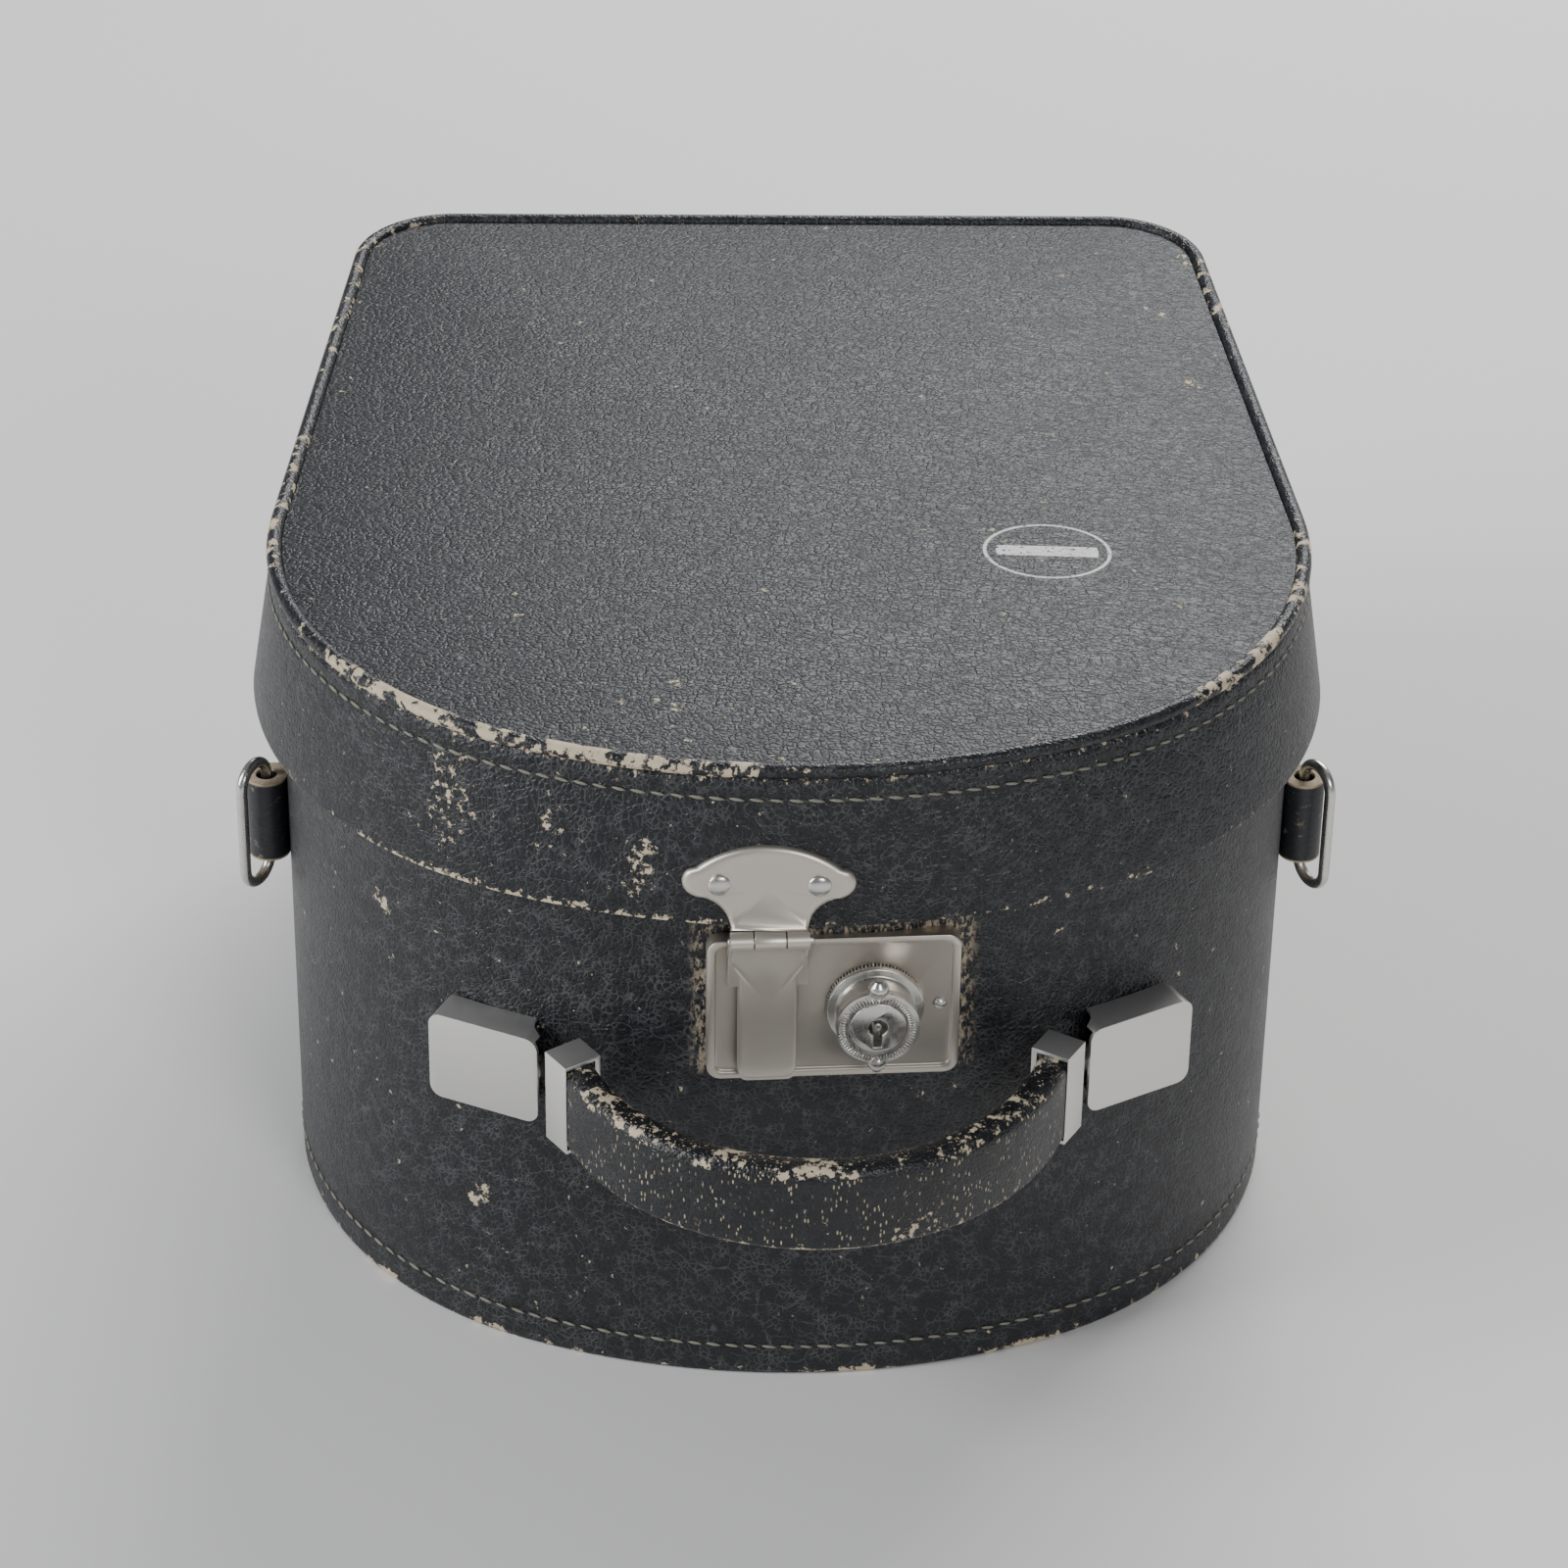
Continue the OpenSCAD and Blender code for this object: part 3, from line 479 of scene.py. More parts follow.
def plain(name, colour, rough):
    """The stage's flat finish."""
    paint = Paint(name)
    paint.set(Base_Color=colour, Roughness=rough)
    return paint.material


# ---- Shapes ------------------------------------------------------------------------------

class Plan:
    """The case's plan outline, made of tangent arcs and straights."""

    def __init__(self):
        size = sizes()
        (_, front, _), (half, back, _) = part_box("wall_cover")
        shoulder, corner, taper = size.shoulder_radius, size.corner_radius, size.side_taper
        reach = size.front_radius - shoulder
        across = half - shoulder
        down = front + size.front_radius - math.sqrt(reach ** 2 - across ** 2)
        turn = math.atan2(across, front + size.front_radius - down)
        side = across * math.cos(taper) + down * math.sin(taper) + shoulder - corner
        corner_y = back - corner
        corner_x = (side - corner_y * math.sin(taper)) / math.cos(taper)
        quarter = math.pi / 2
        self.arcs = [
            ((0.0, front + size.front_radius), size.front_radius, 0.0, turn, 34),
            ((across, down), shoulder, turn, quarter + taper, 60),
            ((corner_x, corner_y), corner, quarter + taper, math.pi, 32),
        ]

    def right(self, offset):
        """Points from the middle of the front, round the right side, to the back."""
        points = []
        for (x, y), radius, start, end, count in self.arcs:
            def at(angle, x=x, y=y, reach=radius + offset):
                return (x + reach * math.sin(angle), y - reach * math.cos(angle))

            if points:
                first, last = at(start), points[-1]
                steps = 36 if math.dist(first, last) > 0.02 else 1
                points += [(last[0] + (first[0] - last[0]) * i / steps,
                            last[1] + (first[1] - last[1]) * i / steps)
                           for i in range(1, steps)]
            for i in range(count + 1):
                place = at(start + (end - start) * i / count)
                if not points or math.dist(place, points[-1]) > 1e-7:
                    points.append(place)
        last = points[-1]
        points += [(last[0] * (1 - i / 20), last[1]) for i in range(1, 21)]
        return points

    def loop(self, offset, z=0.0):
        """The whole outline at an offset, as a closed list of points."""
        right = self.right(offset)
        left = [(-x, y) for x, y in reversed(right[1:-1])]
        return [Vector((x, y, z)) for x, y in right + left]


def shown(name, data):
    """A new object in the scene."""
    made = bpy.data.objects.new(name, data)
    bpy.context.scene.collection.objects.link(made)
    return made


def frozen(piece):
    """Turns a piece's modifiers into plain mesh with smooth faces, and returns the mesh."""
    mesh = bpy.data.meshes.new_from_object(
        piece.evaluated_get(bpy.context.evaluated_depsgraph_get()))
    piece.modifiers.clear()
    piece.data = mesh
    mesh.polygons.foreach_set("use_smooth", [True] * len(mesh.polygons))
    return mesh


def finished(name, mesh, material, smooth=40.0):
    """A mesh object in its material, smooth up to an angle."""
    mesh.polygons.foreach_set("use_smooth", [True] * len(mesh.polygons))
    mesh.set_sharp_from_angle(angle=math.radians(smooth))
    mesh.materials.append(material)
    return shown(name, mesh)


def mesh_piece(name, points, faces, material, smooth=40.0):
    """A mesh object with outward faces and smooth shading up to an angle."""
    mesh = bpy.data.meshes.new(name)
    mesh.from_pydata([tuple(p) for p in points], [], faces)
    work = bmesh.new()
    work.from_mesh(mesh)
    bmesh.ops.remove_doubles(work, verts=work.verts, dist=1e-6)
    bmesh.ops.recalc_face_normals(work, faces=work.faces)
    work.to_mesh(mesh)
    work.free()
    return finished(name, mesh, material, smooth)


def skin(rows, closed):
    """Faces between rows of equal length, each row a closed loop."""
    count = len(rows[0])
    last = len(rows) if closed else len(rows) - 1
    faces = []
    for j in range(last):
        below, above = j * count, ((j + 1) % len(rows)) * count
        for i in range(count):
            after = (i + 1) % count
            faces.append((below + i, below + after, above + after, above + i))
    return faces


def swept(name, profile, material, smooth=40.0):
    """A ring: a closed profile of (offset, height) pairs carried round the plan outline."""
    plan = Plan()
    rows = [plan.loop(offset, z) for offset, z in profile]
    points = [p for row in rows for p in row]
    return mesh_piece(name, points, skin(rows, True), material, smooth)


def slab(name, offset, low, high, material):
    """A level panel of the plan outline with softened edges."""
    plan = Plan()
    soft = 0.0004
    rows = [plan.loop(offset - soft, low), plan.loop(offset, low + soft),
            plan.loop(offset, high - soft), plan.loop(offset - soft, high)]
    count = len(rows[0])
    points = [p for row in rows for p in row]
    faces = skin(rows, False)
    faces += [tuple(reversed(range(count))), tuple(range(3 * count, 4 * count))]
    return mesh_piece(name, points, faces, material)


def put(piece, body, slot, *nodes):
    """Hangs a piece on its body and hides the frame's parts it stands in for."""
    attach(piece, body)
    if nodes:
        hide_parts(*nodes)


def softened(node, body, slot, material, bevel, segments=2, smooth=35.0):
    """A copy of a fitting from the frame with its edges rounded."""
    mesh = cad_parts[node].data.copy()
    work = bmesh.new()
    work.from_mesh(mesh)
    bmesh.ops.remove_doubles(work, verts=work.verts, dist=2e-6)
    bmesh.ops.dissolve_limit(work, angle_limit=math.radians(1.0), verts=work.verts,
                             edges=work.edges)
    work.to_mesh(mesh)
    work.free()
    mesh.materials.clear()
    mesh.materials.append(material)
    made = shown(node + "_finish", mesh)
    if bevel:
        edge = made.modifiers.new("Rounded edges", "BEVEL")
        edge.width = bevel
        edge.segments = segments
        edge.limit_method = "ANGLE"
        edge.angle_limit = math.radians(32)
    frozen(made).set_sharp_from_angle(angle=math.radians(smooth))
    put(made, body, slot, node)


# ---- Geometry Nodes ----------------------------------------------------------------------

def pattern_tree(name, material, tilt):
    """Copies a small rounded bar along a path: pitch, length, width and height are inputs."""
    tree = bpy.data.node_groups.new(name, "GeometryNodeTree")
    face = tree.interface
    face.new_socket("Path", in_out="INPUT", socket_type="NodeSocketGeometry")
    for label in ("Pitch", "Length", "Width", "Height"):
        face.new_socket(label, in_out="INPUT", socket_type="NodeSocketFloat")
    face.new_socket("Seed", in_out="INPUT", socket_type="NodeSocketInt")
    face.new_socket("Result", in_out="OUTPUT", socket_type="NodeSocketGeometry")
    add = tree.nodes.new
    start, end = add("NodeGroupInput"), add("NodeGroupOutput")
    curve = add("GeometryNodeMeshToCurve")
    spread = add("GeometryNodeResampleCurve")
    spread.mode = "LENGTH"
    bar = add("GeometryNodeMeshUVSphere")
    bar.inputs["Segments"].default_value = 8
    bar.inputs["Rings"].default_value = 5
    bar.inputs["Radius"].default_value = 0.5
    size = add("ShaderNodeCombineXYZ")
    along = add("GeometryNodeInputTangent")
    align = add("FunctionNodeAlignEulerToVector")
    align.axis = "X"
    lean = add("FunctionNodeRotateEuler")
    lean.space = "LOCAL"
    lean.inputs["Rotate By"].default_value = (0.0, tilt, 0.0)
    vary = add("FunctionNodeRandomValue")
    vary.data_type = "FLOAT"
    vary.inputs[2].default_value = 0.88
    vary.inputs[3].default_value = 1.08
    copies = add("GeometryNodeInstanceOnPoints")
    grow = add("ShaderNodeVectorMath")
    grow.operation = "SCALE"
    real = add("GeometryNodeRealizeInstances")
    finish = add("GeometryNodeSetMaterial")
    finish.inputs["Material"].default_value = material
    links = [
        (start, "Path", curve, "Mesh"), (curve, 0, spread, "Curve"),
        (start, "Pitch", spread, "Length"), (spread, 0, copies, "Points"),
        (bar, "Mesh", copies, "Instance"), (along, 0, align, "Vector"),
        (align, 0, lean, "Rotation"), (lean, 0, copies, "Rotation"),
        (start, "Length", size, 0), (start, "Width", size, 1), (start, "Height", size, 2),
        (start, "Seed", vary, "Seed"), (size, 0, grow, 0), (vary, 1, grow, "Scale"),
        (grow, 0, copies, "Scale"), (copies, 0, real, 0), (real, 0, finish, 0),
        (finish, 0, end, 0)]
    for giver, output, taker, socket in links:
        tree.links.new(giver.outputs[output], taker.inputs[socket])
    return tree


def patterned(name, path, pitch, length_, width, height, material, tilt=0.0, seed=3):
    """A plain mesh of small bars laid along a closed path."""
    mesh = bpy.data.meshes.new(name)
    count = len(path)
    mesh.from_pydata([tuple(p) for p in path], [(i, (i + 1) % count) for i in range(count)], [])
    made = shown(name, mesh)
    tree = pattern_tree(name + "_nodes", material, tilt)
    modifier = made.modifiers.new("Pattern", "NODES")
    modifier.node_group = tree
    values = {"Pitch": pitch, "Length": length_, "Width": width, "Height": height, "Seed": seed}
    for item in tree.interface.items_tree:
        if item.in_out == "INPUT" and item.name in values:
            modifier[item.identifier] = values[item.name]
    frozen(made)
    return made


# ---- Operators ---------------------------------------------------------------------------

# Each metal: its colour, how rusty it is, its brushing along each axis and its roughness
METALS = {"worn_nickel": ("nickel", 1.0, (180, 180, 1400), 0.30),
          "satin_nickel": ("satin", 0.12, (500, 500, 90), 0.36),
          "bright_nickel": ("satin", 0.30, (700, 700, 700), 0.27),
          "plain_steel": ("steel", 0.3, (600, 600, 600), 0.42)}


def metal(name):
    """One of the metals, made the first time it is asked for."""
    colour, *surface = METALS[name]
    return bpy.data.materials.get(name) or nickel(name, getattr(colours(), colour), *surface)


def body_leather():
    """The body's leather, made the first time it is asked for."""
    return bpy.data.materials.get("body_leather") or leather(
        "body_leather", colours().body, 0.0014, 0.0040, 0.55, body_wear)


class CASE_OT_body(bpy.types.Operator):
    """Leather cover of the body and its base"""
    bl_idname = "carrycase.body"
    bl_label = "Body cover"

    def execute(self, context):
        thick = sizes().leather
        (_, _, low), (_, _, high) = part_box("wall_cover")
        seam = low + sizes().lower_stitch
        profile = [
            (-thick, low), (-0.0008, low), (-0.0003, low + 0.0003), (0.0, low + 0.0012),
            (0.0, seam - 0.0012), (-0.00025, seam), (0.0, seam + 0.0012), (0.0, low + 0.04),
            (0.0, low + 0.08), (0.0, high - 0.002), (-0.0003, high - 0.0003), (-thick, high)]
        cover = swept("body_cover", profile, body_leather())
        put(cover, "case", "leather", "wall_cover")
        (_, _, base), (_, _, top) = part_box("base_cover")
        under = slab("base_leather", -thick - 0.0001, base, top, body_leather())
        put(under, "case", "leather", "base_cover")
        return {"FINISHED"}


def skirt_offset(height):
    """How far the flared skirt stands out at a height."""
    share = (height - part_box("lid_skirt")[0][2]) / sizes().skirt_height
    return sizes().skirt_out + (sizes().rim_out - sizes().skirt_out) * share


class CASE_OT_skirt(bpy.types.Operator):
    """Flared leather skirt of the lid and the piping round its rim"""
    bl_idname = "carrycase.skirt"
    bl_label = "Lid skirt and piping"

    def execute(self, context):
        thick = sizes().leather
        (_, _, low), (_, _, high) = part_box("lid_skirt")
        finish = leather("skirt_leather", colours().body, 0.0014, 0.0040, 0.45, skirt_wear)
        seam = low + sizes().skirt_height - sizes().upper_stitch
        heights = [low + 0.0012, low + 0.010, low + 0.019, seam - 0.0013, seam,
                   seam + 0.0013, high - 0.0010]
        outer = [(skirt_offset(z) + (0.0002 if z != seam else -0.0001), z) for z in heights]
        profile = [(skirt_offset(low) - thick, low + 0.0002),
                   (skirt_offset(low) - 0.0007, low), (skirt_offset(low) - 0.0001, low + 0.0004)]
        profile += outer
        profile += [(skirt_offset(high) - 0.0004, high), (skirt_offset(high) - thick, high)]
        skirt = swept("lid_skirt_leather", profile, finish)
        put(skirt, "lid", "leather", "lid_skirt")
        (_, _, bottom), (_, _, top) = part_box("lid_piping")
        radius = sizes().piping_radius
        middle = (bottom + top) / 2
        centre = sizes().piping_out
        turns = 14
        ring = [(centre + radius * math.cos(2 * math.pi * i / turns),
                 middle + radius * math.sin(2 * math.pi * i / turns)) for i in range(turns)]
        cord = swept("rim_piping", ring, leather(
            "piping_leather", colours().body, 0.0012, 0.0050, 0.35, piping_wear, 0.38, 0.6), 80)
        put(cord, "lid", "leather", "lid_piping")
        return {"FINISHED"}


class CASE_OT_top(bpy.types.Operator):
    """Padded leather top of the lid"""
    bl_idname = "carrycase.top"
    bl_label = "Lid top"

    def execute(self, context):
        finish = leather("top_leather", colours().top, 0.0013, 0.0036, 0.22, top_wear, 0.46, 0.75,
                         (0.8, 1.25, 1.0), oval_print)
        (_, front, low), (_, back, high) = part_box("lid_top")
        middle = Vector((0.0, front + (back - front) * 0.47, 0.0))
        edge = sizes().piping_out - sizes().piping_radius - 0.0001
        dome = sizes().top_dome
        rim = high - dome
        plan = Plan()
        shares = [1.0, 0.9965, 0.99, 0.98, 0.965, 0.945, 0.92, 0.88, 0.82, 0.74, 0.64, 0.52,
                  0.38, 0.24, 0.12]
        rows = [plan.loop(edge, low)]
        for share in shares:
            z = rim + dome * (1 - share ** 3)
            rows.append([Vector((middle.x + (p.x - middle.x) * share,
                                 middle.y + (p.y - middle.y) * share, z))
                         for p in plan.loop(edge)])
        count = len(rows[0])
        points = [p for row in rows for p in row] + [Vector((middle.x, middle.y, high))]
        faces = skin(rows, False)
        faces.append(tuple(reversed(range(count))))
        last = (len(rows) - 1) * count
        faces += [(last + i, last + (i + 1) % count, len(points) - 1) for i in range(count)]
        top = mesh_piece("lid_top_leather", points, faces, finish, 60)
        put(top, "lid", "top_leather", "lid_top")
        return {"FINISHED"}


class CASE_OT_linings(bpy.types.Operator):
    """Cloth linings, boards and the collar inside the case"""
    bl_idname = "carrycase.linings"
    bl_label = "Linings and boards"

    def execute(self, context):
        velvet = cloth("lining_cloth", colours().lining)
        board = fibreboard("case_board", colours().board)
        thick = sizes().leather
        rings = [
            ("wall_board", "case", "board", board, -thick - 0.0001, 0.0030, 0.0),
            ("wall_lining", "case", "lining", velvet, -0.0044, 0.0008, 0.0),
            ("collar", "case", "lining", velvet, -0.00522, 0.0020, 0.0006)]
        for node, body, slot, finish, offset, wall, soft in rings:
            (_, _, low), (_, _, high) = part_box(node)
            inner = offset - wall
            profile = [(inner, low), (offset, low), (offset, high - soft)]
            profile += [((offset + inner) / 2, high), (inner, high - soft)] if soft else [
                (inner, high)]
            put(swept(node + "_finish", profile, finish), body, slot, node)
        flared = [("lid_rim_board", "board", board, 0.0013, 0.0024),
                  ("lid_rim_lining", "lining", velvet, 0.0038, 0.0008)]
        for node, slot, finish, depth, wall in flared:
            (_, _, low), (_, _, high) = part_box(node)
            profile = [(skirt_offset(low) - depth - wall, low), (skirt_offset(low) - depth, low),
                       (skirt_offset(high) - depth, high),
                       (skirt_offset(high) - depth - wall, high)]
            put(swept(node + "_finish", profile, finish), "lid", slot, node)
        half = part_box("wall_cover")[1][0]
        slabs = [("base_board", "case", "board", board), ("base_lining", "case", "lining", velvet),
                 ("lid_board", "lid", "board", board), ("lid_lining", "lid", "lining", velvet)]
        for node, body, slot, finish in slabs:
            (_, _, low), (right, _, high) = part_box(node)
            put(slab(node + "_finish", right - half, low, high, finish), body, slot, node)
        return {"FINISHED"}


class CASE_OT_stitching(bpy.types.Operator):
    """Saddle stitching under the rim and above the base"""
    bl_idname = "carrycase.stitching"
    bl_label = "Stitching"

    def execute(self, context):
        size = sizes()
        linen = thread("linen_thread", colours().thread)
        plan = Plan()
        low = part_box("lid_skirt")[0][2]
        seam = low + size.skirt_height - size.upper_stitch
        rows = [("rim_stitching", "lid", plan.loop(skirt_offset(seam) + 0.0001, seam), 5),
                ("base_stitching", "case", plan.loop(0.0, size.lower_stitch), 9)]
        for name, body, path, seed in rows:
            stitches = patterned(name, path, size.stitch_pitch, size.stitch_length,
                                 size.stitch_width, size.stitch_width * 1.05, linen, 0.13, seed)
            put(stitches, body, "leather")
        return {"FINISHED"}


def on_front(x, y, z, along):
    """A point given from the front's middle, carried round the front by a distance."""
    radius = sizes().front_radius
    turn = math.asin(along / radius)
    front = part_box("wall_cover")[0][1]
    y = y - radius
    return Vector((x * math.cos(turn) - y * math.sin(turn),
                   x * math.sin(turn) + y * math.cos(turn) + radius + front, z))


class CASE_OT_handle(bpy.types.Operator):
    """Bowed leather strap of the handle, with its ferrules and end caps"""
    bl_idname = "carrycase.handle"
    bl_label = "Handle"

    def execute(self, context):
        finish = leather("strap_leather", colours().strap, 0.0010, 0.0080, 0.15, strap_wear,
                         0.32, 0.6)
        (_, _, low), (_, _, high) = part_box("handle_cover")
        outer = sizes().bow_radius
        centre_y = outer - sizes().bow_out
        reach = math.radians(73)
        strap = sizes().strap
        tall = (high - low) / 2
        middle = (high + low) / 2
        # Section from the inner top corner round: (depth behind the outer face, height)
        section = []
        corners = [(strap - 0.0026, tall - 0.0028, 0.0026, 0.0028, 90),
                   (strap - 0.0014, -tall + 0.0016, 0.0014, 0.0016, 0),
                   (0.0016, -tall + 0.0018, 0.0016, 0.0018, -90),
                   (0.0030, tall - 0.0032, 0.0030, 0.0032, 180)]
        for depth, height, rx, rz, start in corners:
            for i in range(7):
                angle = math.radians(start - 90 * i / 6)
                section.append((depth + rx * math.cos(angle), height + rz * math.sin(angle)))
        steps = 96
        rows = []
        for i in range(steps + 1):
            angle = -reach + 2 * reach * i / steps
            rows.append([on_front((outer - d) * math.sin(angle),
                                  centre_y - (outer - d) * math.cos(angle), middle + z,
                                  sizes().handle_along) for d, z in section])
        count = len(section)
        points = [p for row in rows for p in row]
        faces = skin(rows, False)
        faces += [tuple(range(count)), tuple(reversed(range(steps * count, (steps + 1) * count)))]
        strap_piece = mesh_piece("handle_strap", points, faces, finish, 50)
        put(strap_piece, "handle", "handle_leather", "handle_cover")
        for side in ("left", "right"):
            for part, body, bevel in (("ferrule_", "handle", 0.0006), ("cap_", "case", 0.00035)):
                softened(part + side, body, "satin_nickel", metal("satin_nickel"), bevel, 3)
        return {"FINISHED"}


def on_skirt(x, y, z):
    """A point on the hasp plate: across, out of the skirt (negative) and up along it."""
    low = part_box("lid_skirt")[0][2]
    size = sizes()
    flare = math.atan((size.skirt_out - size.rim_out) / size.skirt_height)
    back = x - size.hasp_left
    round_by = back ** 2 / (2 * (size.front_radius + size.skirt_out))
    y = y + round_by
    return on_front(back, -size.skirt_out + y * math.cos(flare) + z * math.sin(flare),
                    low + z * math.cos(flare) - y * math.sin(flare), size.lock_along)


def bent(points):
    """The points of one half of a flat outline and their mirror image, in order."""
    return points + [(-x, z) for x, z in reversed(points) if abs(x) > 1e-6]


def arc(centre, radius, start, end, count):
    """Points on an arc, with its angles in degrees."""
    turns = [math.radians(start + (end - start) * i / count) for i in range(count + 1)]
    return [(centre[0] + radius * math.cos(a), centre[1] + radius * math.sin(a)) for a in turns]


def pillow(name, flat, middle, levels, place, material):
    """A pressed plate: its outline drawn in towards the middle as it rises to the front."""
    rows = []
    for share, out in levels:
        rows.append([place(middle[0] + (x - middle[0]) * share,
                           out, middle[1] + (z - middle[1]) * share) for x, z in flat])
    count = len(flat)
    points = [p for row in rows for p in row] + [place(middle[0], levels[-1][1], middle[1]),
                                                 place(middle[0], levels[0][1], middle[1])]
    faces = skin(rows, False)
    last = (len(rows) - 1) * count
    faces += [(last + i, last + (i + 1) % count, len(points) - 2) for i in range(count)]
    faces += [((i + 1) % count, i, len(points) - 1) for i in range(count)]
    return mesh_piece(name, points, faces, material, 42)


def round_piece(name, material, build):
    """A mesh object made by a function that fills a bmesh."""
    mesh = bpy.data.meshes.new(name)
    work = bmesh.new()
    build(work)
    bmesh.ops.recalc_face_normals(work, faces=work.faces)
    work.to_mesh(mesh)
    work.free()
    return finished(name, mesh, material)


class CASE_OT_hasp(bpy.types.Operator):
    """Pressed hasp plate, its tongue's face, its rivets and the knob's lugs"""
    bl_idname = "carrycase.hasp"
    bl_label = "Hasp and lugs"

    def execute(self, context):
        size = sizes()
        worn, bright = metal("worn_nickel"), metal("bright_nickel")
        half = arc((0.0, -0.0044), 0.024, 90, 50, 14) + arc((0.0150, 0.0108), 0.0034, 50, -80, 10)
        half += arc((0.0162, -0.0006), 0.0082, 98, 170, 12)
        half += [(0.0083, 0.0002)]

        def plate_at(x, out, z):
            lift = max(0.0, 0.0032 - z) * 0.45
            return on_skirt(x, out - lift, z)

        levels = [(1.0, -0.00005), (1.0, -0.0006), (0.985, -0.0011), (0.95, -0.0015),
                  (0.88, -0.00165), (0.80, -0.0016), (0.5, -0.0016)]
        plate = pillow("hasp_plate_face", bent(half), (0.0, 0.0100), levels, plate_at, worn)
        put(plate, "lid", "worn_nickel", "hasp_plate")
        hinge_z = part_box("lid_skirt")[0][2] - 0.0012
        hinge_y = -size.skirt_out - 0.0023
        turn = math.asin(size.lock_along / size.front_radius)
        knuckle, rivet_head, lug = 0.0021, 0.0026, 0.0022

        def knuckles(work):
            for side in (-1, 1):
                where = on_front(-size.hasp_left + side * 0.006, hinge_y, hinge_z, size.lock_along)
                stand = Matrix.Translation(where) @ Matrix.Rotation(turn, 4, "Z")
                bmesh.ops.create_cone(work, cap_ends=True, segments=40, radius1=knuckle,
                                      radius2=knuckle, depth=0.0048,
                                      matrix=stand @ Matrix.Rotation(math.pi / 2, 4, "Y"))

        put(round_piece("hasp_knuckles", worn, knuckles), "lid", "worn_nickel")
        for side, name in ((-1, "left"), (1, "right")):
            def head(work, side=side):
                where = on_skirt(side * 0.0105, -0.0014, 0.0105)
                bmesh.ops.create_uvsphere(
                    work, u_segments=32, v_segments=16, radius=rivet_head,
                    matrix=Matrix.Translation(where) @ Matrix.Rotation(turn, 4, "Z")
                    @ Matrix.Diagonal((1, 0.42, 1, 1)))
            rivet = round_piece("hasp_rivet_head_" + name, bright, head)
            put(rivet, "lid", "worn_nickel", "hasp_rivet_" + name)
        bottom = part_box("hasp_tongue")[0][2]
        blade = [(0.0, hinge_z - 0.0020), (0.0086, hinge_z - 0.0020), (0.0087, hinge_z - 0.0066),
                 (0.0080, hinge_z - 0.0088), (0.0067, hinge_z - 0.0108),
                 (0.0064, hinge_z - 0.0130)]
        blade += arc((0.0036, bottom + 0.0028), 0.0028, 0, -90, 8) + [(0.0, bottom)]
        shoulder = hinge_z - 0.0074

        def blade_at(x, out, z):
            lean = max(0.0, z - shoulder) * 0.70
            return on_front(x - size.hasp_left, -0.0044 - lean + out, z, size.lock_along)

        levels = [(1.0, 0.0019), (1.0, 0.0008), (0.985, 0.0002), (0.95, -0.00035),
                  (0.90, -0.0005), (0.82, -0.00042), (0.4, -0.0004)]
        middle = (0.0, (bottom + hinge_z) / 2)
        face = pillow("hasp_tongue_face", bent(blade), middle, levels, blade_at, worn)
        put(face, "hasp", "worn_nickel")
        (_, _, ring_low), (_, _, ring_high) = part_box("knob_ring")
        knob_z = (ring_low + ring_high) / 2

        def lugs(work):
            for side in (-1, 1):
                where = on_front(size.knob_right, -0.0090, knob_z + side * 0.0094,
                                 size.lock_along)
                bmesh.ops.create_uvsphere(work, u_segments=32, v_segments=20, radius=lug,
                                          matrix=Matrix.Translation(where))

        put(round_piece("finger_lugs", bright, lugs), "knob", "worn_nickel")
        return {"FINISHED"}


class CASE_OT_fittings(bpy.types.Operator):
    """Lock, hinges, rivets and hidden steel, with rounded edges"""
    bl_idname = "carrycase.fittings"
    bl_label = "Lock, hasp and hinges"

    def execute(self, context):
        worn, bright, steel = (metal(name) for name in ("worn_nickel", "bright_nickel",
                                                        "plain_steel"))
        fittings = [
            ("lock_plate", "case", "worn_nickel", worn, 0.00045),
            ("stop_stud", "case", "worn_nickel", bright, 0.0),
            ("hasp_tongue", "hasp", "worn_nickel", worn, 0.00045),
            ("hasp_pin", "lid", "worn_nickel", bright, 0.0003),
            ("knob_flange", "knob", "worn_nickel", bright, 0.00035),
            ("knob_ring", "knob", "worn_nickel", bright, 0.00035),
            ("key_barrel", "barrel", "worn_nickel", bright, 0.00020),
            ("lock_case", "case", "steel", steel, 0.0003),
            ("lock_bolt", "knob", "steel", steel, 0.0002),
            ("lock_spring", "knob", "steel", steel, 0.0),
            ("handle_core", "handle", "steel", steel, 0.0),
            ("pivot_left", "case", "steel", steel, 0.0002),
            ("pivot_right", "case", "steel", steel, 0.0002)]
        for side in ("left", "right"):
            fittings += [
                ("body_leaf_" + side, "case", "worn_nickel", worn, 0.0003),
                ("lid_leaf_" + side, "lid", "worn_nickel", worn, 0.0003),
                ("hinge_pin_" + side, "case", "worn_nickel", bright, 0.0003),
                ("body_rivets_" + side, "case", "worn_nickel", bright, 0.0),
                ("lid_rivets_" + side, "lid", "worn_nickel", bright, 0.0)]
        for node, body, slot, finish, bevel in fittings:
            softened(node, body, slot, finish, bevel)
        return {"FINISHED"}


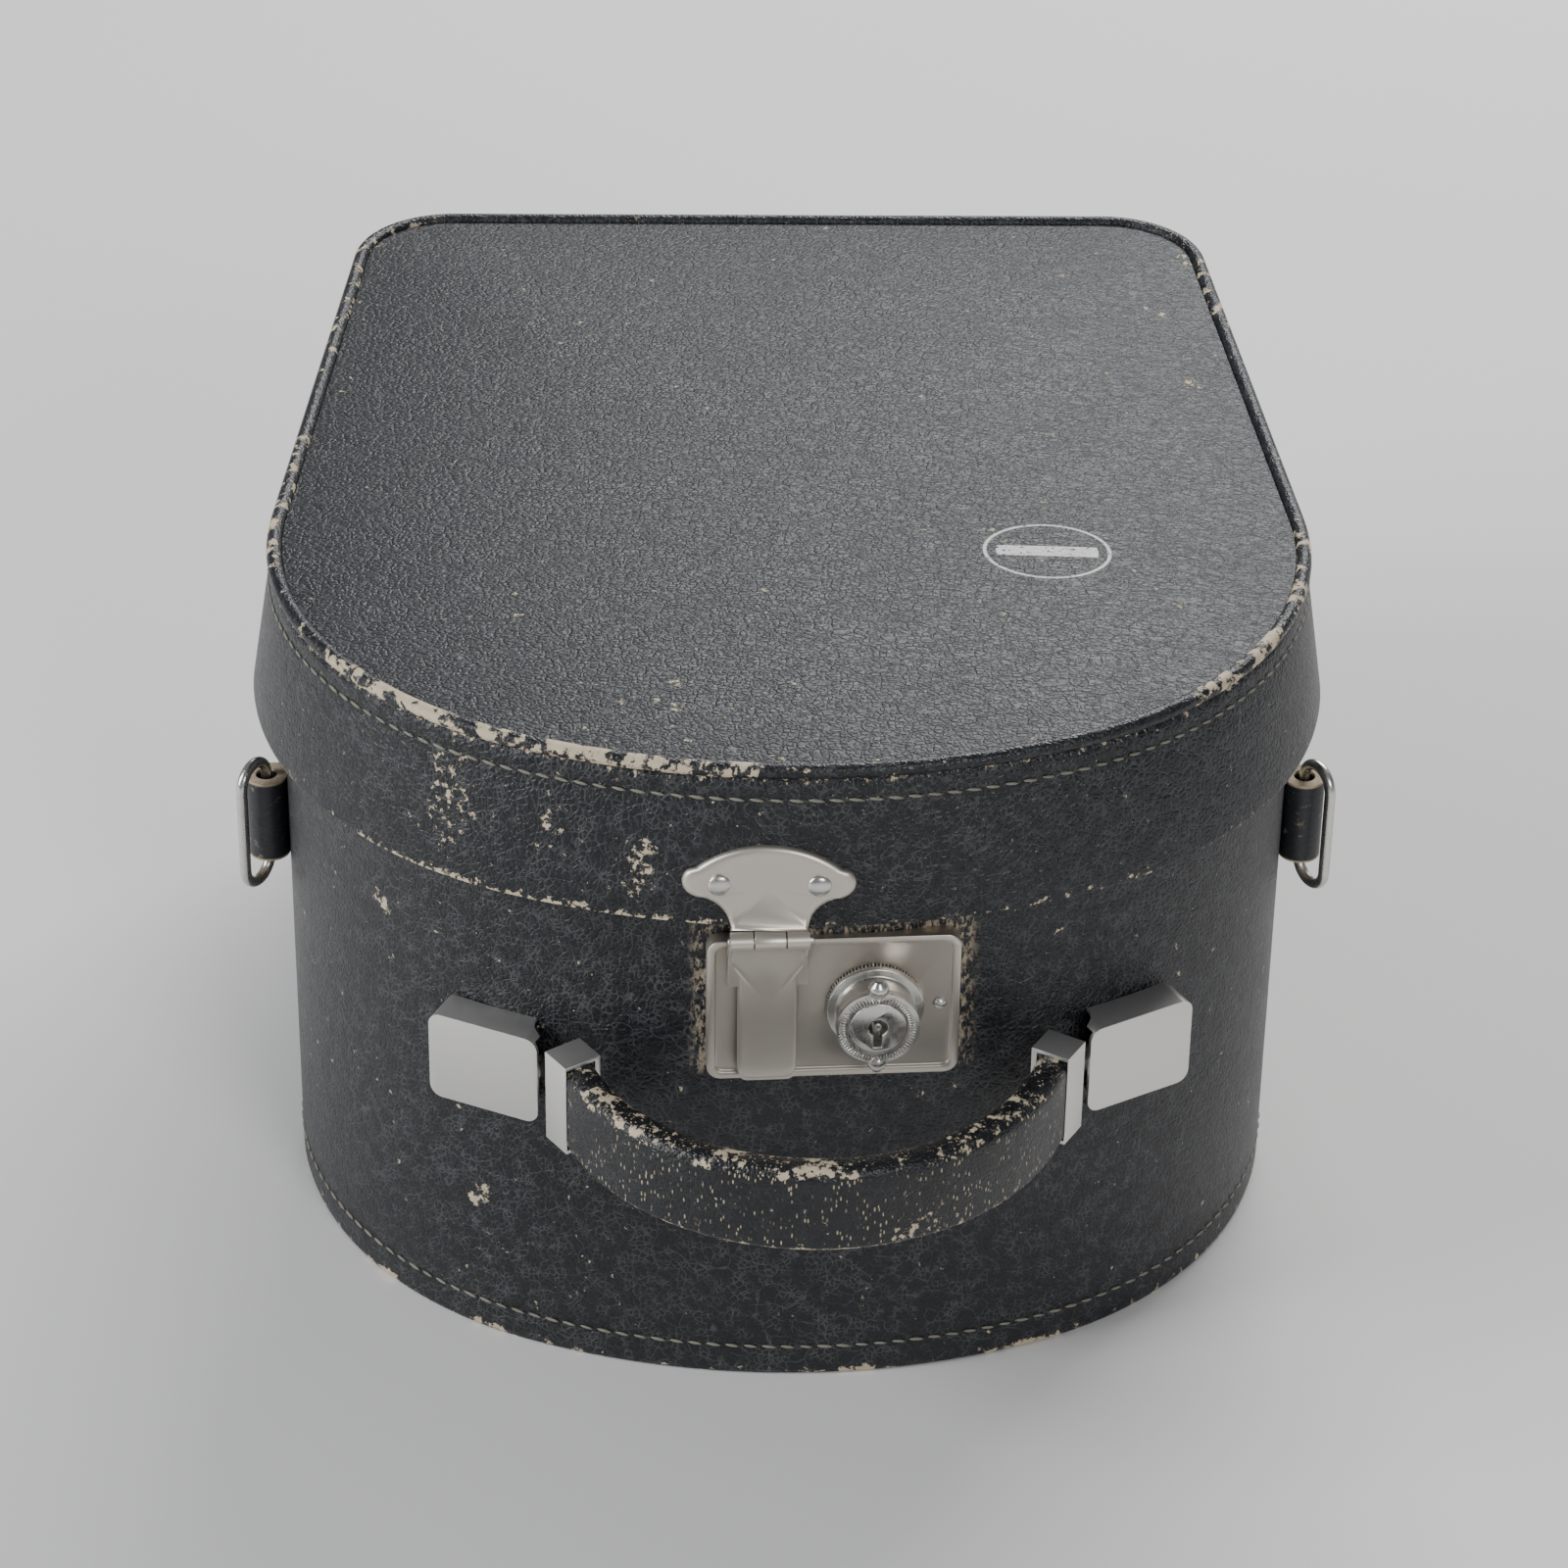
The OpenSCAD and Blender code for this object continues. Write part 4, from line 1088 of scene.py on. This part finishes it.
class CASE_OT_knurls(bpy.types.Operator):
    """Fine knurling on the knob's face and flange"""
    bl_idname = "carrycase.knurls"
    bl_label = "Knurling"

    def execute(self, context):
        (x0, y0, z0), (x1, y1, z1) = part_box("knob_flange")
        middle = Vector(((x0 + x1) / 2, (y0 + y1) / 2, (z0 + z1) / 2))
        turn = math.asin(sizes().lock_along / sizes().front_radius)
        across = Vector((math.cos(turn), math.sin(turn), 0.0))
        ahead = Vector((math.sin(turn), -math.cos(turn), 0.0))
        # Each row: name, radius, distance in front of the knob's middle, pitch, then the bar
        rows = [("face_knurls", 0.00765, 0.00605, 0.0007, 0.00032, 0.0005, 0.0016),
                ("flange_knurls", 0.0104, -0.00325, 0.0008, 0.0004, 0.0015, 0.0006)]
        for name, radius, out_by, pitch, along, out, deep in rows:
            circle = [middle + ahead * out_by + across * radius * math.cos(a)
                      + Vector((0, 0, radius * math.sin(a)))
                      for a in (2 * math.pi * i / 180 for i in range(180))]
            # The bar's Y lies along the knob's axis on the flange, and its Z out from the axis
            knurls = patterned(name, circle, pitch, along, out, deep, metal("bright_nickel"))
            put(knurls, "knob", "worn_nickel")
        return {"FINISHED"}


class CASE_OT_rings(bpy.types.Operator):
    """Leather loops and the wire rings they hold"""
    bl_idname = "carrycase.rings"
    bl_label = "Side rings"

    def execute(self, context):
        hide = loop_leather("loop_leather")
        for side in ("left", "right"):
            softened("loop_" + side, "case", "loop_leather", hide, 0.0005, 3)
            softened("ring_" + side, "carry_ring_" + side, "ring_nickel",
                     metal("bright_nickel"), 0.0)
        return {"FINISHED"}


def area_light(name, place, aim, size, power, tone=(1, 1, 1)):
    """A soft lamp that faces a point."""
    lamp = bpy.data.lights.new(name, "AREA")
    lamp.shape = "RECTANGLE"
    lamp.size, lamp.size_y = size
    lamp.energy = power
    lamp.color = tone
    made = shown(name, lamp)
    made.location = place
    made.rotation_euler = (Vector(aim) - Vector(place)).to_track_quat("-Z", "Y").to_euler()


class CASE_OT_stage(bpy.types.Operator):
    """Plain floor, soft light and the camera"""
    bl_idname = "carrycase.stage"
    bl_label = "Stage"

    def execute(self, context):
        scene = bpy.context.scene
        bpy.ops.mesh.primitive_plane_add(size=14, location=(0, 0, -0.0002))
        floor = bpy.context.object
        floor.name = "floor"
        floor.data.materials.append(plain("floor_paint", colours().floor, 0.7))
        world = bpy.data.worlds.new("studio")
        world.use_nodes = True
        sky = world.node_tree.nodes["Background"]
        sky.inputs[0].default_value = (0.86, 0.90, 1.0, 1.0)
        sky.inputs[1].default_value = 0.22
        scene.world = world
        area_light("back_softbox", (0.5, 1.3, 1.25), (0, 0, 0.1), (1.3, 0.7), 34)
        area_light("left_softbox", (-1.5, -0.5, 0.9), (0, -0.05, 0.08), (0.6, 1.0), 24,
                   (0.95, 0.97, 1.0))
        area_light("front_softbox", (0.7, -1.7, 1.1), (0, 0, 0.08), (0.6, 0.5), 13)
        lens = bpy.data.cameras.new("camera")
        lens.sensor_width = 36.0
        lens.lens = 117.0
        lens.clip_start = 0.01
        camera = shown("camera", lens)
        pitch, yaw, roll = math.radians(32.62), math.radians(1.364), math.radians(0.851)
        ahead = Vector((math.sin(yaw) * math.cos(pitch), math.cos(yaw) * math.cos(pitch),
                        -math.sin(pitch)))
        right = Vector((math.cos(yaw), -math.sin(yaw), 0.0))
        up = right.cross(ahead)
        side = right * math.cos(roll) + up * math.sin(roll)
        over = up * math.cos(roll) - right * math.sin(roll)
        turn = Matrix((side, over, -ahead)).transposed().to_4x4()
        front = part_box("wall_cover")[0][1]
        camera.matrix_world = Matrix.Translation((-0.0241, front - 0.8981, 0.7334)) @ turn
        scene.camera = camera
        return {"FINISHED"}


class CASE_PT_panel(bpy.types.Panel):
    """Sizes, colours and steps of the carrying case"""
    bl_idname = "CASE_PT_panel"
    bl_label = "Leather case"
    bl_space_type = "VIEW_3D"
    bl_region_type = "UI"
    bl_category = "Case"

    def draw(self, context):
        layout = self.layout
        for group in (context.scene.case_sizes, context.scene.case_colours):
            box = layout.box()
            for name in group.__annotations__:
                box.prop(group, name)
        for step in STEPS:
            layout.operator(step.bl_idname)


STEPS = (CASE_OT_stage, CASE_OT_body, CASE_OT_skirt, CASE_OT_top, CASE_OT_linings,
         CASE_OT_stitching, CASE_OT_handle, CASE_OT_fittings, CASE_OT_hasp, CASE_OT_knurls,
         CASE_OT_rings)
CLASSES = (CaseSizes, CaseColours) + STEPS + (CASE_PT_panel,)


def register():
    for item in CLASSES:
        bpy.utils.register_class(item)
    bpy.types.Scene.case_sizes = bpy.props.PointerProperty(type=CaseSizes)
    bpy.types.Scene.case_colours = bpy.props.PointerProperty(type=CaseColours)


def unregister():
    del bpy.types.Scene.case_sizes
    del bpy.types.Scene.case_colours
    for item in reversed(CLASSES):
        bpy.utils.unregister_class(item)


def main():
    """Builds every piece in order."""
    register()
    for step in STEPS:
        group, name = step.bl_idname.split(".")
        getattr(getattr(bpy.ops, group), name)()


if __name__ == "__main__":
    main()
